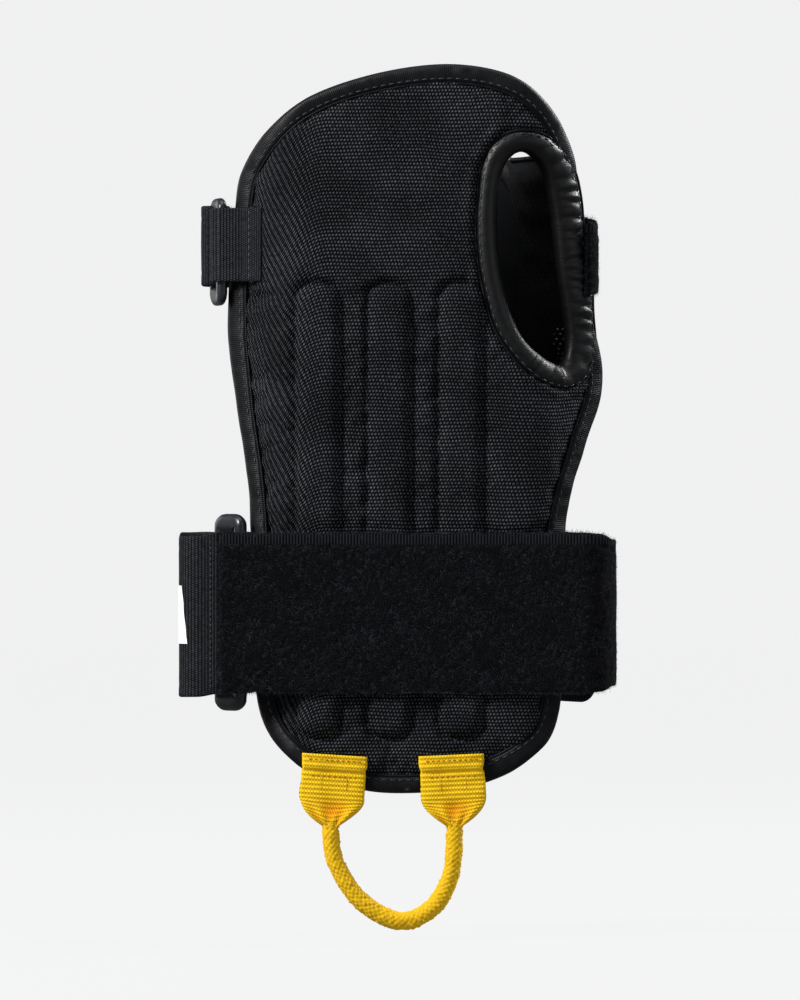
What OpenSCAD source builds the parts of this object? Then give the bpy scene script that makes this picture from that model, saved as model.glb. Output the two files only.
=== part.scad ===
// Snow-sports wrist guard for one hand.
// Frame: +Z runs along the forearm toward the fingers, -Y is the palm face,
// +Y is the back of the hand, +X is the thumb side and -X the outer side.
// The origin is the middle of the wrist cavity at the waist of the guard.
// All sizes in millimetres.

/* [Palm panel] */
// Depth of the palm face below the origin
palm_depth = 24; // [22:0.5:27]
// Half width over which the palm panel is flat
palm_flat = 32; // [30:1:34]
// Curvature of the rolled-up edge
palm_curl = 0.035; // [0.030:0.001:0.038]
// Outer fabric thickness
shell_thick = 1.2; // [0.8:0.1:1.4]
// Foam thickness
foam_thick = 3.9; // [3:0.1:4.2]
// Lining thickness
lining_thick = 0.9; // [0.6:0.1:1.0]

/* [Back panel] */
// Height of the back-of-hand panel above the origin
back_height = 24; // [23.5:0.5:25]
// Half width over which the back panel is flat
back_flat = 12; // [8:1:14]
// Curvature of the back panel
back_curl = 0.0125; // [0.010:0.0005:0.014]
// Splint thickness inside the back panel
splint_thick = 1.4; // [1:0.1:1.6]

/* [Bindings] */
// Visible width of the sewn edge binding
bind_width = 5; // [4:0.5:6]
// Thickness of the binding tape
bind_thick = 0.8; // [0.6:0.1:1.0]
// Width of the padded rim around the thumb hole
rim_width = 6; // [5:0.5:6.5]
// Thickness of the padding in the thumb rim
rim_thick = 2.0; // [1.5:0.1:2.2]

/* [Palm stays] */
// Width of each stay channel
channel_width = 11; // [10:0.5:12]
// Height of each stay channel
channel_height = 3; // [2.8:0.1:3]
// Stay width
stay_width = 7.6; // [6:0.2:8]
// Stay thickness
stay_thick = 1.5; // [1.2:0.1:1.6]

/* [Straps] */
// Wrist strap webbing width
wrist_width = 50; // [48:1:51]
// Hand strap webbing width
hand_width = 25; // [24:0.5:25.5]
// Plain webbing thickness
web_thick = 1.3; // [1.1:0.1:1.4]
// Pile-faced webbing thickness
pile_thick = 2.4; // [2.2:0.1:2.5]
// Hook patch thickness
hook_thick = 1.0; // [0.8:0.1:1.1]

/* [Rings] */
// Diameter of the ring bars
bar_dia = 4; // [3.6:0.1:4.2]
// Distance between the two long bars of a ring
ring_pitch = 12; // [11.5:0.1:12.2]
// Clear length of the wrist ring
wrist_ring_length = 53.4; // [53:0.1:54]
// Clear length of the hand ring
hand_ring_length = 27.6; // [27.2:0.1:28]

/* [Pull loop] */
// Diameter of the pull cord
cord_dia = 5.6; // [5:0.1:6]
// Bend radius of the loop at the cord centreline
loop_radius = 19.2; // [18.5:0.1:20]
// Height of the swing axis of the loop
loop_z = -98; // [-99:0.5:-97]

/* [Hidden] */
$fn = 48;

black = [0.09, 0.09, 0.10];
satin = [0.15, 0.155, 0.165];
yellow = [0.96, 0.74, 0.08];
foam_grey = [0.3, 0.3, 0.32];
lining_grey = [0.12, 0.12, 0.13];
pale_grey = [0.75, 0.75, 0.72];
gusset_grey = [0.13, 0.13, 0.14];
pile_black = [0.06, 0.06, 0.065];
hook_black = [0.05, 0.05, 0.05];
ring_grey = [0.2, 0.2, 0.21];

// Panel layers, as depths inward from the outer face
gap = 0.05; // between neighbouring pieces
foam_start = shell_thick + gap;
foam_end = foam_start + foam_thick;
lining_start = foam_end + gap;
panel_thick = lining_start + lining_thick;
layer_inset = 1.2; // panel layers stop this far inside the binding's edge

// Closed outlines seen from the palm side, anticlockwise, as [x, z]
palm_points = [
  [0, -86.5], [20, -84.3], [37, -76.5], [46.2, -64], [48.2, -35], [49.3, 0],
  [54.5, 20], [60.6, 41], [57, 64], [53.8, 92], [50, 116], [37, 133.6],
  [15, 139.8], [-12, 136.6], [-36, 127], [-51, 110.5], [-55, 92], [-57, 60],
  [-54.5, 36], [-50.4, 8], [-49, -28], [-47, -61], [-35.5, -77.5], [-17, -85]];
hole_points = [
  [47, 46.4], [50.8, 54], [48, 78], [46, 96], [43, 107.6],
  [36.5, 112.8], [30, 109.6], [27.2, 97], [28.4, 75], [34.6, 56]];
back_points = [
  [1, -87.2], [24, -83], [37, -70.5], [40.6, -50], [37.2, -8],
  [37.2, 30], [41.4, 60], [43.6, 86], [38.5, 105], [23, 119.6],
  [2, 126], [-21, 119], [-36.2, 103], [-41, 85], [-36.6, 60],
  [-34, 25], [-34.4, -10], [-37.2, -50], [-34, -68], [-20, -82.2]];

// ---- curve helpers
// Catmull-Rom point between start and end
function curve_point(before, start, end, after, t) = 0.5 * (2 * start + (end - before) * t
  + (2 * before - 5 * start + 4 * end - after) * t * t
  + (3 * start - before - 3 * end + after) * t * t * t);
// Smooth closed curve through the points, with the given steps per span
function smooth(points, steps) = let (count = len(points))
  [for (i = [0:count - 1], j = [0:steps - 1])
    curve_point(points[(i + count - 1) % count], points[i],
      points[(i + 1) % count], points[(i + 2) % count], j / steps)];
function unit(v) = v / norm(v);
function left_of(v) = [-v.y, v.x] / norm(v);
function reversed(list) = [for (i = [len(list) - 1:-1:0]) list[i]];
// A closed anticlockwise curve moved inward; a negative distance enlarges it
function inset(line, distance) = let (count = len(line)) [for (i = [0:count - 1])
  line[i] + distance * left_of(line[(i + 1) % count] - line[(i + count - 1) % count])];

palm_line = smooth(palm_points, 2);
hole_line = smooth(hole_points, 4);
back_line = smooth(back_points, 2);

// ---- panel faces
roll_width = 13; // parabolic part of the palm's edge roll
back_middle_x = 1.5;
face_xs = [for (x = [-70:3.5:70]) x];
band_z0 = -110;
band_length = 270;
plan_reach = 60; // outline prisms run this far either side of the XZ plane

// Outer palm face: flat middle, parabolic roll, then a straight flank
function palm_y(x) = let (beyond = max(0, abs(x) - palm_flat), roll = min(beyond, roll_width))
  -palm_depth + palm_curl * roll * roll
  + (beyond > roll ? 2 * palm_curl * roll * (beyond - roll) : 0);
// Outer back face: flat middle, then a parabola on each side
function back_y(x) = let (beyond = max(0, abs(x - back_middle_x) - back_flat))
  back_height - back_curl * beyond * beyond;

// Slab following the palm face between two depths inside it
module palm_band(outer, inner) translate([0, 0, band_z0]) linear_extrude(band_length)
  polygon(concat([for (x = face_xs) [x, palm_y(x) + outer]],
    [for (x = reversed(face_xs)) [x, palm_y(x) + inner]]));
// Slab following the back face between two depths inside it
module back_band(outer, inner) translate([0, 0, band_z0]) linear_extrude(band_length)
  polygon(concat([for (x = face_xs) [x, back_y(x) - inner]],
    [for (x = reversed(face_xs)) [x, back_y(x) - outer]]));
// Prism along Y of an outline given in X and Z
module plan(line) translate([0, plan_reach, 0]) rotate([90, 0, 0])
  linear_extrude(2 * plan_reach) polygon(line);

// ---- webbing paths in the XY plane
bend_steps = 6;
// Arc that rounds off a corner
function bend(before, corner, after, radius) = let (
    apex = [corner.x, corner.y],
    to_before = unit([before.x, before.y] - apex),
    to_after = unit([after.x, after.y] - apex),
    half = acos(to_before * to_after) / 2,
    centre = apex + unit(to_before + to_after) * radius / sin(half),
    start = apex + to_before * radius / tan(half) - centre,
    end = apex + to_after * radius / tan(half) - centre,
    angle = atan2(start.y, start.x),
    turn = atan2(end.y, end.x) - angle,
    sweep = turn > 180 ? turn - 360 : (turn < -180 ? turn + 360 : turn))
  [for (i = [0:bend_steps])
    centre + radius * [cos(angle + sweep * i / bend_steps), sin(angle + sweep * i / bend_steps)]];
// Path through [x, y] ends and [x, y, corner radius] points between them
function route(points) = let (last = len(points) - 1) concat(
  [[points[0].x, points[0].y]],
  [for (i = [1:last - 1]) each bend(points[i - 1], points[i], points[i + 1], points[i][2])],
  [[points[last].x, points[last].y]]);
// The path moved sideways, positive to the left of its direction
function beside(path, distance) = let (last = len(path) - 1) [for (i = [0:last])
  path[i] + distance * left_of(path[min(i + 1, last)] - path[max(i - 1, 0)])];
// Webbing standing on its edge between two sideways distances from the path
module strip(path, from, to, z0, width) translate([0, 0, z0]) linear_extrude(width)
  polygon(concat(beside(path, from), reversed(beside(path, to))));

// ---- palm panel
rim_edge_inset = 0.4; // the thumb rim stays this far inside the palm outline
rim_clearance = 0.2;  // between the edge binding and the thumb rim
pocket_overrun = 3;   // cut for the panel beyond the rim's outer edge

module palm_layer(outer, inner) difference() {
  intersection() {
    palm_band(outer, inner);
    plan(inset(palm_line, layer_inset));
  }
  plan(inset(hole_line, -layer_inset));
}
module palm_shell() color(black) palm_layer(0, shell_thick);
module palm_foam() color(foam_grey) palm_layer(foam_start, foam_end);
module palm_lining() color(lining_grey) palm_layer(lining_start, panel_thick);

module palm_edge_binding() color(satin) difference() {
  intersection() {
    palm_band(-bind_thick, panel_thick + bind_thick);
    plan(palm_line);
  }
  plan(inset(palm_line, bind_width));
  // Room for the panel
  intersection() {
    palm_band(-gap, panel_thick + gap);
    plan(inset(palm_line, layer_inset - gap));
  }
  plan(inset(hole_line, -rim_width - rim_clearance));
}
module thumb_hole_binding() color(satin) difference() {
  intersection() {
    palm_band(-rim_thick, panel_thick + rim_thick);
    plan(inset(hole_line, -rim_width));
    plan(inset(palm_line, rim_edge_inset));
  }
  plan(hole_line);
  // Room for the panel around the hole
  difference() {
    intersection() {
      palm_band(-gap, panel_thick + gap);
      plan(inset(hole_line, -rim_width - pocket_overrun));
    }
    plan(inset(hole_line, gap - layer_inset));
  }
}

// ---- palm stays in sewn channels on the outer face
channel_xs = [-28.5, -6.4, 15.9];
channel_z0 = -69;
channel_z1 = 71;
slot_floor = 0.3;       // channel wall between the slot and the panel
slot_thick = stay_thick + 0.3;
slot_side_gap = 0.2;
slot_end_wall = 5;
stay_floor = 0.5;       // from the channel's inner face to the stay
stay_end_inset = 5.6;

module on_palm(x) translate([x, -palm_depth - gap, 0]) children();
// Box centred on X, rising outward from the given level, inset from the channel ends
module channel_box(width, thick, level, end_inset)
  translate([-width / 2, -level - thick, channel_z0 + end_inset])
    cube([width, thick, channel_z1 - channel_z0 - 2 * end_inset]);

module stay_channels() color(black) for (x = channel_xs) on_palm(x) difference() {
  union() {
    channel_box(channel_width, channel_height, 0, channel_width / 2);
    for (z = [channel_z0 + channel_width / 2, channel_z1 - channel_width / 2])
      translate([0, 0, z]) rotate([90, 0, 0]) cylinder(d = channel_width, h = channel_height);
  }
  channel_box(stay_width + 2 * slot_side_gap, slot_thick, slot_floor, slot_end_wall);
}
module stay(x) color(pale_grey) on_palm(x)
  channel_box(stay_width, stay_thick, stay_floor, stay_end_inset);
module palm_stay_outer() stay(channel_xs[0]);
module palm_stay_middle() stay(channel_xs[1]);
module palm_stay_thumb() stay(channel_xs[2]);

// ---- back-of-hand panel
module back_layer(outer, inner) intersection() {
  back_band(outer, inner);
  plan(inset(back_line, layer_inset));
}
// The splint, grown by a clearance to make its room in the foam
module splint_body(grow) intersection() {
  back_band(foam_start - grow, foam_start + splint_thick + grow);
  plan([[-12 - grow, -58 - grow], [15 + grow, -58 - grow], [17 + grow, 88 + grow],
    [9, 98 + grow], [-6, 98 + grow], [-14 - grow, 88 + grow]]);
}
module back_shell() color(black) back_layer(0, shell_thick);
module back_foam() color(foam_grey) difference() {
  back_layer(foam_start, foam_end);
  splint_body(gap);
}
module back_splint() color(pale_grey) splint_body(0);
module back_lining() color(lining_grey) back_layer(lining_start, panel_thick);
module back_binding() color(satin) difference() {
  intersection() {
    back_band(-bind_thick, panel_thick + bind_thick);
    plan(back_line);
  }
  plan(inset(back_line, bind_width));
  // Room for the panel
  intersection() {
    back_band(-gap, panel_thick + gap);
    plan(inset(back_line, layer_inset - gap));
  }
}

// ---- stretch gussets between the panels
// Panel edges as [z, x]
palm_edge_outer = [[-70, -42.5], [-60, -46], [-28, -49], [8, -50.4],
  [36, -54.5], [60, -57], [92, -55], [104, -53]];
palm_edge_thumb = [[-70, 42], [-64, 45.5], [-35, 48.2], [0, 49.3], [20, 54.5],
  [41, 60], [64, 57], [92, 53.8], [104, 52]];
back_edge_outer = [[-72, -32], [-50, -37.2], [-10, -34.4], [25, -34],
  [60, -36.6], [85, -41], [104, -35.5]];
back_edge_thumb = [[-72, 36], [-50, 40.6], [-8, 37.2], [30, 37.2],
  [60, 41.4], [86, 43.6], [104, 39]];
gusset_z0 = -68;
gusset_z1 = 103;
gusset_thick = 1.1;
gusset_bulge = 6;
gusset_rows = 16; // steps along Z
gusset_cols = 5;  // steps from palm to back
palm_edge_inset = 3.2;
back_edge_inset = 6.8;
palm_clearance = 0.5;
back_clearance = 1.4;

// Point at height z, with rise from 0 at the palm to 1 at the back.
// side is 1 for the thumb side and -1 for the outer side.
function gusset_point(side, z, rise, depth) = let (
    palm_x = lookup(z, side > 0 ? palm_edge_thumb : palm_edge_outer) - side * palm_edge_inset,
    back_x = lookup(z, side > 0 ? back_edge_thumb : back_edge_outer) - side * back_edge_inset,
    low_y = palm_y(palm_x) + panel_thick + (side > 0 ? rim_thick : bind_thick) + palm_clearance,
    high_y = back_y(back_x) - panel_thick - bind_thick - back_clearance)
  [palm_x + (back_x - palm_x) * rise
      + side * gusset_bulge * rise * (1 - rise) * (1 - rise) - side * depth,
    low_y + (high_y - low_y) * rise, z];

module gusset(side) {
  rows = gusset_rows;
  cols = gusset_cols;
  // Skin 0 faces outward and skin 1 faces the hand
  points = [for (skin = [0, 1], i = [0:rows], j = [0:cols])
    gusset_point(side, gusset_z0 + (gusset_z1 - gusset_z0) * i / rows, j / cols,
      skin * gusset_thick)];
  function at(skin, i, j) = (skin * (rows + 1) + i) * (cols + 1) + j;
  // Two triangles, wound to suit the side
  function quad(a, b, c, d) = side > 0 ? [[a, b, c], [a, c, d]] : [[a, c, b], [a, d, c]];
  faces = concat(
    [for (i = [0:rows - 1], j = [0:cols - 1])
      each quad(at(0, i, j), at(0, i + 1, j), at(0, i + 1, j + 1), at(0, i, j + 1))],
    [for (i = [0:rows - 1], j = [0:cols - 1])
      each quad(at(1, i, j), at(1, i, j + 1), at(1, i + 1, j + 1), at(1, i + 1, j))],
    [for (j = [0:cols - 1])
      each quad(at(0, 0, j), at(0, 0, j + 1), at(1, 0, j + 1), at(1, 0, j))],
    [for (j = [0:cols - 1])
      each quad(at(0, rows, j), at(1, rows, j), at(1, rows, j + 1), at(0, rows, j + 1))],
    [for (i = [0:rows - 1])
      each quad(at(0, i, 0), at(1, i, 0), at(1, i + 1, 0), at(0, i + 1, 0))],
    [for (i = [0:rows - 1])
      each quad(at(0, i, cols), at(0, i + 1, cols), at(1, i + 1, cols), at(1, i, cols))]);
  polyhedron(points = points, faces = faces);
}
module gusset_outer_side() color(gusset_grey) gusset(-1);
module gusset_thumb_side() color(gusset_grey) gusset(1);

// ---- levels shared by both straps
strap_gap = 0.15;
hook_gap = 0.1; // between pile and hook patch
strap_palm_y = -palm_depth - channel_height - strap_gap; // inner face over the channels
strap_back_y = back_height + strap_gap;                  // inner face over the back
tail_rise = pile_thick + hook_gap + hook_thick + gap;
tail_y = strap_back_y + tail_rise;                       // inner face of the tails
tail_gap = 0.3;                                          // between a fold and its tail

// ---- wrist strap
wrist_z0 = -55.5;
wrist_start_x = -60;
wrist_side_x = 62;
wrist_bend = 14;
wrist_pile_end_x = 10;
wrist_fold_end_x = -48;
wrist_hook_margin = 2;
// The tail's end follows the strap's bend on the thumb side
wrap_radius = wrist_bend + tail_rise;
wrap_angle = 30;
wrap_tangent = wrap_radius * tan(wrap_angle / 2);
wrap_corner = [wrist_side_x - wrist_bend + wrap_tangent, tail_y, wrap_radius];
function wrap_end(length) = [wrap_corner.x + length * cos(wrap_angle),
  tail_y - length * sin(wrap_angle)];

wrist_pile_path = route([[wrist_start_x, strap_palm_y], [wrist_side_x, strap_palm_y, 9],
  [wrist_side_x, strap_back_y, wrist_bend], [wrist_pile_end_x, strap_back_y]]);
wrist_fold_path = route([[wrist_start_x, strap_palm_y], [-70.5, strap_palm_y, 6],
  [-70.5, -2, 14], [-57, tail_y, 12], [wrist_fold_end_x, tail_y]]);
wrist_tail_path = route([[wrist_fold_end_x + tail_gap, tail_y], wrap_corner, wrap_end(6.2)]);
wrist_hook_path = route([[wrist_pile_end_x, tail_y], wrap_corner,
  wrap_end(wrap_tangent + 0.1)]);

module wrist_strap_pile() color(pile_black)
  strip(wrist_pile_path, 0, -pile_thick, wrist_z0, wrist_width);
module wrist_strap_fold() color(black)
  strip(wrist_fold_path, 0, web_thick, wrist_z0, wrist_width);
module wrist_strap_tail() color(black)
  strip(wrist_tail_path, 0, web_thick, wrist_z0, wrist_width);
module wrist_hook_patch() color(hook_black)
  strip(wrist_hook_path, -gap, -gap - hook_thick,
    wrist_z0 + wrist_hook_margin, wrist_width - 2 * wrist_hook_margin);

// Plain slanted bars printed on the outside of the tail
print_count = 7;
print_x0 = -33;
print_pitch = 12;
print_thick = 0.15;
print_gap = 0.02;
module wrist_tail_print() color("white") for (i = [0:print_count - 1])
  translate([print_x0 + i * print_pitch, tail_y + web_thick + print_gap + print_thick,
      wrist_z0 + wrist_width / 2])
    rotate([90, 0, 0]) linear_extrude(print_thick)
      polygon([[-4.5, -9], [1, -9], [4.5, 9], [-1, 9]]);

// ---- rings and their keepers
// A ring of round bars: the keeper bar stands at the origin, the outer bar
// at ring_pitch along +X
module bar_ring(length) {
  radius = bar_dia / 2;
  for (x = [0, ring_pitch]) translate([x, 0, -radius])
    cylinder(r = radius, h = length + bar_dia);
  for (z = [-radius, length + radius]) {
    translate([0, 0, z]) rotate([0, 90, 0]) cylinder(r = radius, h = ring_pitch);
    for (x = [0, ring_pitch]) translate([x, 0, z]) sphere(r = radius);
  }
}
// A ring with its keeper bar at [x, y], centred on the strap's width;
// angle is the direction from keeper bar to outer bar
module strap_ring(bar, angle, length, strap_z0, strap_width)
  translate([bar.x, bar.y, strap_z0 - (length - strap_width) / 2])
    rotate([0, 0, angle]) bar_ring(length);

keeper_angle = -42.3;
keeper_margin = 1; // keeper edge inside the strap edge
// Folded webbing tab around a bar: one leg lies against the panel, and the
// two legs meet past the bar
module keeper(bar, length, strap_z0, strap_width) {
  radius = bar_dia / 2 + 0.3;
  turn = radius - 0.05;
  leg_y = radius - 0.06;
  path = route([[length, radius], [-radius, radius, turn], [-radius, -radius, turn],
    [1.2, -radius, 1.5], [7.5, leg_y, 3], [length - 0.6, leg_y]]);
  translate([bar.x, bar.y, 0]) rotate([0, 0, keeper_angle])
    strip(path, -web_thick, 0, strap_z0 + keeper_margin, strap_width - 2 * keeper_margin);
}

wrist_bar = [-52.2, -17.4];
module wrist_ring() color(ring_grey)
  strap_ring(wrist_bar, 128, wrist_ring_length, wrist_z0, wrist_width);
module wrist_ring_keeper() color(black) keeper(wrist_bar, 10.5, wrist_z0, wrist_width);

// ---- hand strap
hand_z0 = 71.5;
hand_joint = [-57, 5.6]; // where pile and fold meet
hand_fold_end_x = -46;
hand_hook_margin = 1.5;
hand_pile_path = route([[51.5, -16.6], [57.6, -9.6, 4], [58.6, 8, 16],
  [47, strap_back_y, 10], [-44, strap_back_y, 10], [-55.4, 9, 6], hand_joint]);
// This path is the outer face of the fold over the back
hand_fold_path = route([hand_joint, [-57.3, -3.5, 3], [-67.4, -4.4, 4.4], [-67.4, 12, 10],
  [-54, tail_y + web_thick, 10], [hand_fold_end_x, tail_y + web_thick]]);
hand_tail_path = route([[hand_fold_end_x + tail_gap, tail_y], [44, tail_y, 8],
  [48.2, tail_y - 0.5]]);
hand_hook_path = [[-38, tail_y], [42, tail_y]];

module hand_strap_pile() color(pile_black)
  strip(hand_pile_path, 0, -pile_thick, hand_z0, hand_width);
module hand_strap_fold() color(black)
  strip(hand_fold_path, 0, -web_thick, hand_z0, hand_width);
module hand_strap_tail() color(black)
  strip(hand_tail_path, 0, web_thick, hand_z0, hand_width);
module hand_hook_patch() color(hook_black)
  strip(hand_hook_path, -gap, -gap - hook_thick,
    hand_z0 + hand_hook_margin, hand_width - 2 * hand_hook_margin);

hand_bar = [-59.8, -10.6];
module hand_ring() color(ring_grey)
  strap_ring(hand_bar, 101, hand_ring_length, hand_z0, hand_width);
module hand_ring_keeper() color(black) keeper(hand_bar, 17, hand_z0, hand_width);

// ---- pull loop
tab_y = -palm_depth - bind_thick - gap; // face against the palm binding
tab_thick = 3.2;
cord_xs = [-24.5, -24.5 + 2 * loop_radius];
cord_bend_z = -107.5;
// Tab outline as [x, z]
tab_outline = [[-10.2, -74.5], [-10, -88], [-3.2, -93.8],
  [3.2, -93.8], [10, -88], [10.2, -74.5]];

module pull_tab(x) color(yellow) translate([x, tab_y, 0]) rotate([90, 0, 0])
  linear_extrude(tab_thick) polygon(tab_outline);
module pull_tab_outer() pull_tab(cord_xs[0]);
module pull_tab_thumb() pull_tab(cord_xs[1] + 0.4);
// Two round-ended legs joined by a half ring below
module pull_cord() color(yellow) translate([0, tab_y - tab_thick / 2, 0]) {
  for (x = cord_xs) {
    translate([x, 0, cord_bend_z]) cylinder(d = cord_dia, h = loop_z - cord_bend_z);
    translate([x, 0, loop_z]) sphere(d = cord_dia);
  }
  translate([cord_xs[0] + loop_radius, 0, cord_bend_z]) rotate([90, 0, 0])
    rotate([0, 0, 180]) rotate_extrude(angle = 180)
      translate([loop_radius, 0]) circle(d = cord_dia);
}

palm_shell();
palm_foam();
palm_lining();
palm_edge_binding();
thumb_hole_binding();
stay_channels();
palm_stay_outer();
palm_stay_middle();
palm_stay_thumb();
back_shell();
back_foam();
back_lining();
back_binding();
back_splint();
gusset_outer_side();
gusset_thumb_side();
wrist_strap_pile();
wrist_strap_fold();
wrist_strap_tail();
wrist_hook_patch();
wrist_tail_print();
wrist_ring();
wrist_ring_keeper();
hand_strap_pile();
hand_strap_fold();
hand_strap_tail();
hand_hook_patch();
hand_ring();
hand_ring_keeper();
pull_tab_outer();
pull_tab_thumb();
pull_cord();
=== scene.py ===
# A padded wrist guard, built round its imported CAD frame. Lengths are millimetres until
# build() turns them into metres. The palm panel faces -y and the back panel +y. The thumb
# side is +x, the finger end +z, and a pull loop hangs below the -z end of the palm panel.
import math

import bmesh
import bpy
import numpy as np
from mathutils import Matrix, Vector


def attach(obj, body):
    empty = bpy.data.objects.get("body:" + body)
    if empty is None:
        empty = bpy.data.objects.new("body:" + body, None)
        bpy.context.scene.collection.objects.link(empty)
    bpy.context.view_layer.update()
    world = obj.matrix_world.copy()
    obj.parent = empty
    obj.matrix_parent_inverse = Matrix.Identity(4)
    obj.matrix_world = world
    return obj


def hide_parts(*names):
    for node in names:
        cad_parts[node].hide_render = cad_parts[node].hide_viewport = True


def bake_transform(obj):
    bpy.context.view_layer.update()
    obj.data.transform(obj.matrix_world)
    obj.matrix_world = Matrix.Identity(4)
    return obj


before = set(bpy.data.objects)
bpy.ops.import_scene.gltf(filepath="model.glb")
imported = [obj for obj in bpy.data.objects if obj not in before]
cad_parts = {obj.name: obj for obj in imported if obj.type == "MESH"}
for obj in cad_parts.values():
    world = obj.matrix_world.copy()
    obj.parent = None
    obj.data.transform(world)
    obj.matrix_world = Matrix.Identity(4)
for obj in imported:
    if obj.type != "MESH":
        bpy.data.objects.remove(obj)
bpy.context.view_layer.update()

MM = 0.001
BODY = "guard_body"
PANEL_THICK = 6.2
OUTLINE_STEP = 1.4
scene = bpy.context.scene


# ---------------------------------------------------------------- profiles and noise
def ease(t):
    """Smooth step from 0 to 1."""
    t = np.clip(t, 0, 1)
    return t * t * (3 - 2 * t)


def band(z, low, high, soft):
    """1 between two limits, with soft ends."""
    return ease((z - low) / soft + 0.5) * ease((high - z) / soft + 0.5)


def bump(distance, width):
    return np.exp(-((distance / width) ** 2))


def noise2(x, y, seed, shortest, longest, count=14):
    """Plane waves with random headings and wavelengths between two limits."""
    draw = np.random.default_rng(seed)
    heading = draw.uniform(0, 2 * np.pi, count)
    rate = 2 * np.pi / np.exp(draw.uniform(np.log(shortest), np.log(longest), count))
    phase = draw.uniform(0, 2 * np.pi, count)
    total = 0
    for a, w, p in zip(heading, rate, phase):
        total = total + np.sin(w * (x * math.cos(a) + y * math.sin(a)) + p)
    return total / math.sqrt(count)


def noise1(s, total, seed, fewest, most, count=10):
    """Waves that close on themselves after a length of total."""
    draw = np.random.default_rng(seed)
    height = 0
    for _ in range(count):
        cycles = draw.integers(fewest, most + 1)
        height = height + np.sin(2 * np.pi * cycles * s / total + draw.uniform(0, 6.283))
    return height / math.sqrt(count)


# ---------------------------------------------------------------- curves
def xyz(x, y, z):
    return np.stack(np.broadcast_arrays(x, y, z), -1)


def lattice(a, b):
    return np.meshgrid(a, b, indexing="ij")


def spline(control, steps, closed):
    """Catmull-Rom curve with a fixed number of steps in each span."""
    c = np.array(control, float)
    if closed:
        padded = np.vstack([c[-1:], c, c[:2]])
    else:
        padded = np.vstack([2 * c[0] - c[1], c, 2 * c[-1] - c[-2]])
    points = []
    for a, b, d, e in zip(padded, padded[1:], padded[2:], padded[3:]):
        for j in range(steps):
            t = j / steps
            square = (2 * a - 5 * b + 4 * d - e) * t * t
            points.append(0.5 * (2 * b + (d - a) * t + square + (3 * b - a - 3 * d + e) * t**3))
    if not closed:
        points.append(c[-1])
    return np.array(points)


def resample(points, step, closed=False):
    """Even points along a line, and their stations."""
    points = np.asarray(points, float)
    line = np.vstack([points, points[:1]]) if closed else points
    length = np.concatenate([[0], np.cumsum(np.linalg.norm(np.diff(line, axis=0), axis=1))])
    count = max(2, int(round(length[-1] / step)))
    stations = np.linspace(0, length[-1], count + 1)
    if closed:
        stations = stations[:-1]
    return np.stack([np.interp(stations, length, column) for column in line.T], 1), stations


def unit(vectors):
    return vectors / np.maximum(np.linalg.norm(vectors, axis=1, keepdims=True), 1e-9)


def tangents(points, closed=False):
    if closed:
        along = np.roll(points, -1, 0) - np.roll(points, 1, 0)
    else:
        along = np.empty_like(points)
        along[1:-1] = points[2:] - points[:-2]
        along[0] = points[1] - points[0]
        along[-1] = points[-1] - points[-2]
    return unit(along)


def left(along):
    return np.stack([-along[:, 1], along[:, 0]], 1)


def offset(outline, distance, passes=10):
    """Moves a closed anticlockwise outline inwards along smoothed normals."""
    normals = left(tangents(outline, True))
    for _ in range(passes):
        normals = unit(normals + 0.5 * (np.roll(normals, 1, 0) + np.roll(normals, -1, 0)))
    return outline + normals * distance[:, None]


def depth(x, z, outline):
    """Distance in from a closed outline, negative outside it."""
    points = np.stack([np.ravel(x), np.ravel(z)], 1)
    ends = np.roll(outline, -1, 0)
    edge = (ends - outline)[None]
    edge_square = np.maximum((edge * edge).sum(2), 1e-12)
    distance = np.empty(len(points))
    chunk = 8000  # bounds the memory of the point-by-edge arrays
    for first in range(0, len(points), chunk):
        away = points[first : first + chunk, None, :] - outline[None]
        t = np.clip((away * edge).sum(2) / edge_square, 0, 1)
        gap = np.linalg.norm(away - edge * t[..., None], axis=2)
        distance[first : first + chunk] = gap.min(1)
    px, pz = points.T
    inside = np.zeros(len(points), bool)
    for (x0, z0), (x1, z1) in zip(outline, ends):
        crosses = (z0 > pz) != (z1 > pz)
        rise = z1 - z0 if z1 != z0 else 1e-9
        inside ^= crosses & (px < (x1 - x0) * (pz - z0) / rise + x0)
    return (distance * np.where(inside, 1, -1)).reshape(np.shape(x))


def route(corners):
    """Straight runs joined by arcs: each inner corner is (x, y, radius)."""
    points = [np.array(corners[0][:2], float)]
    for before, (x, y, radius), after in zip(corners, corners[1:], corners[2:]):
        corner = np.array([x, y], float)
        back = np.array(before[:2]) - corner
        back /= np.linalg.norm(back)
        ahead = np.array(after[:2]) - corner
        ahead /= np.linalg.norm(ahead)
        half = math.acos(max(-1, min(1, float(back @ ahead)))) / 2
        bisector = (back + ahead) / np.linalg.norm(back + ahead)
        centre = corner + bisector * radius / math.sin(half)
        start = corner + back * radius / math.tan(half) - centre
        end = corner + ahead * radius / math.tan(half) - centre
        first = math.atan2(start[1], start[0])
        turn = math.atan2(end[1], end[0]) - first
        turn = (turn + math.pi) % (2 * math.pi) - math.pi
        count = max(6, int(abs(turn) * radius / 0.6))
        for j in range(count + 1):
            angle = first + turn * j / count
            points.append(centre + radius * np.array([math.cos(angle), math.sin(angle)]))
    points.append(np.array(corners[-1][:2], float))
    return np.array(points)


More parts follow.
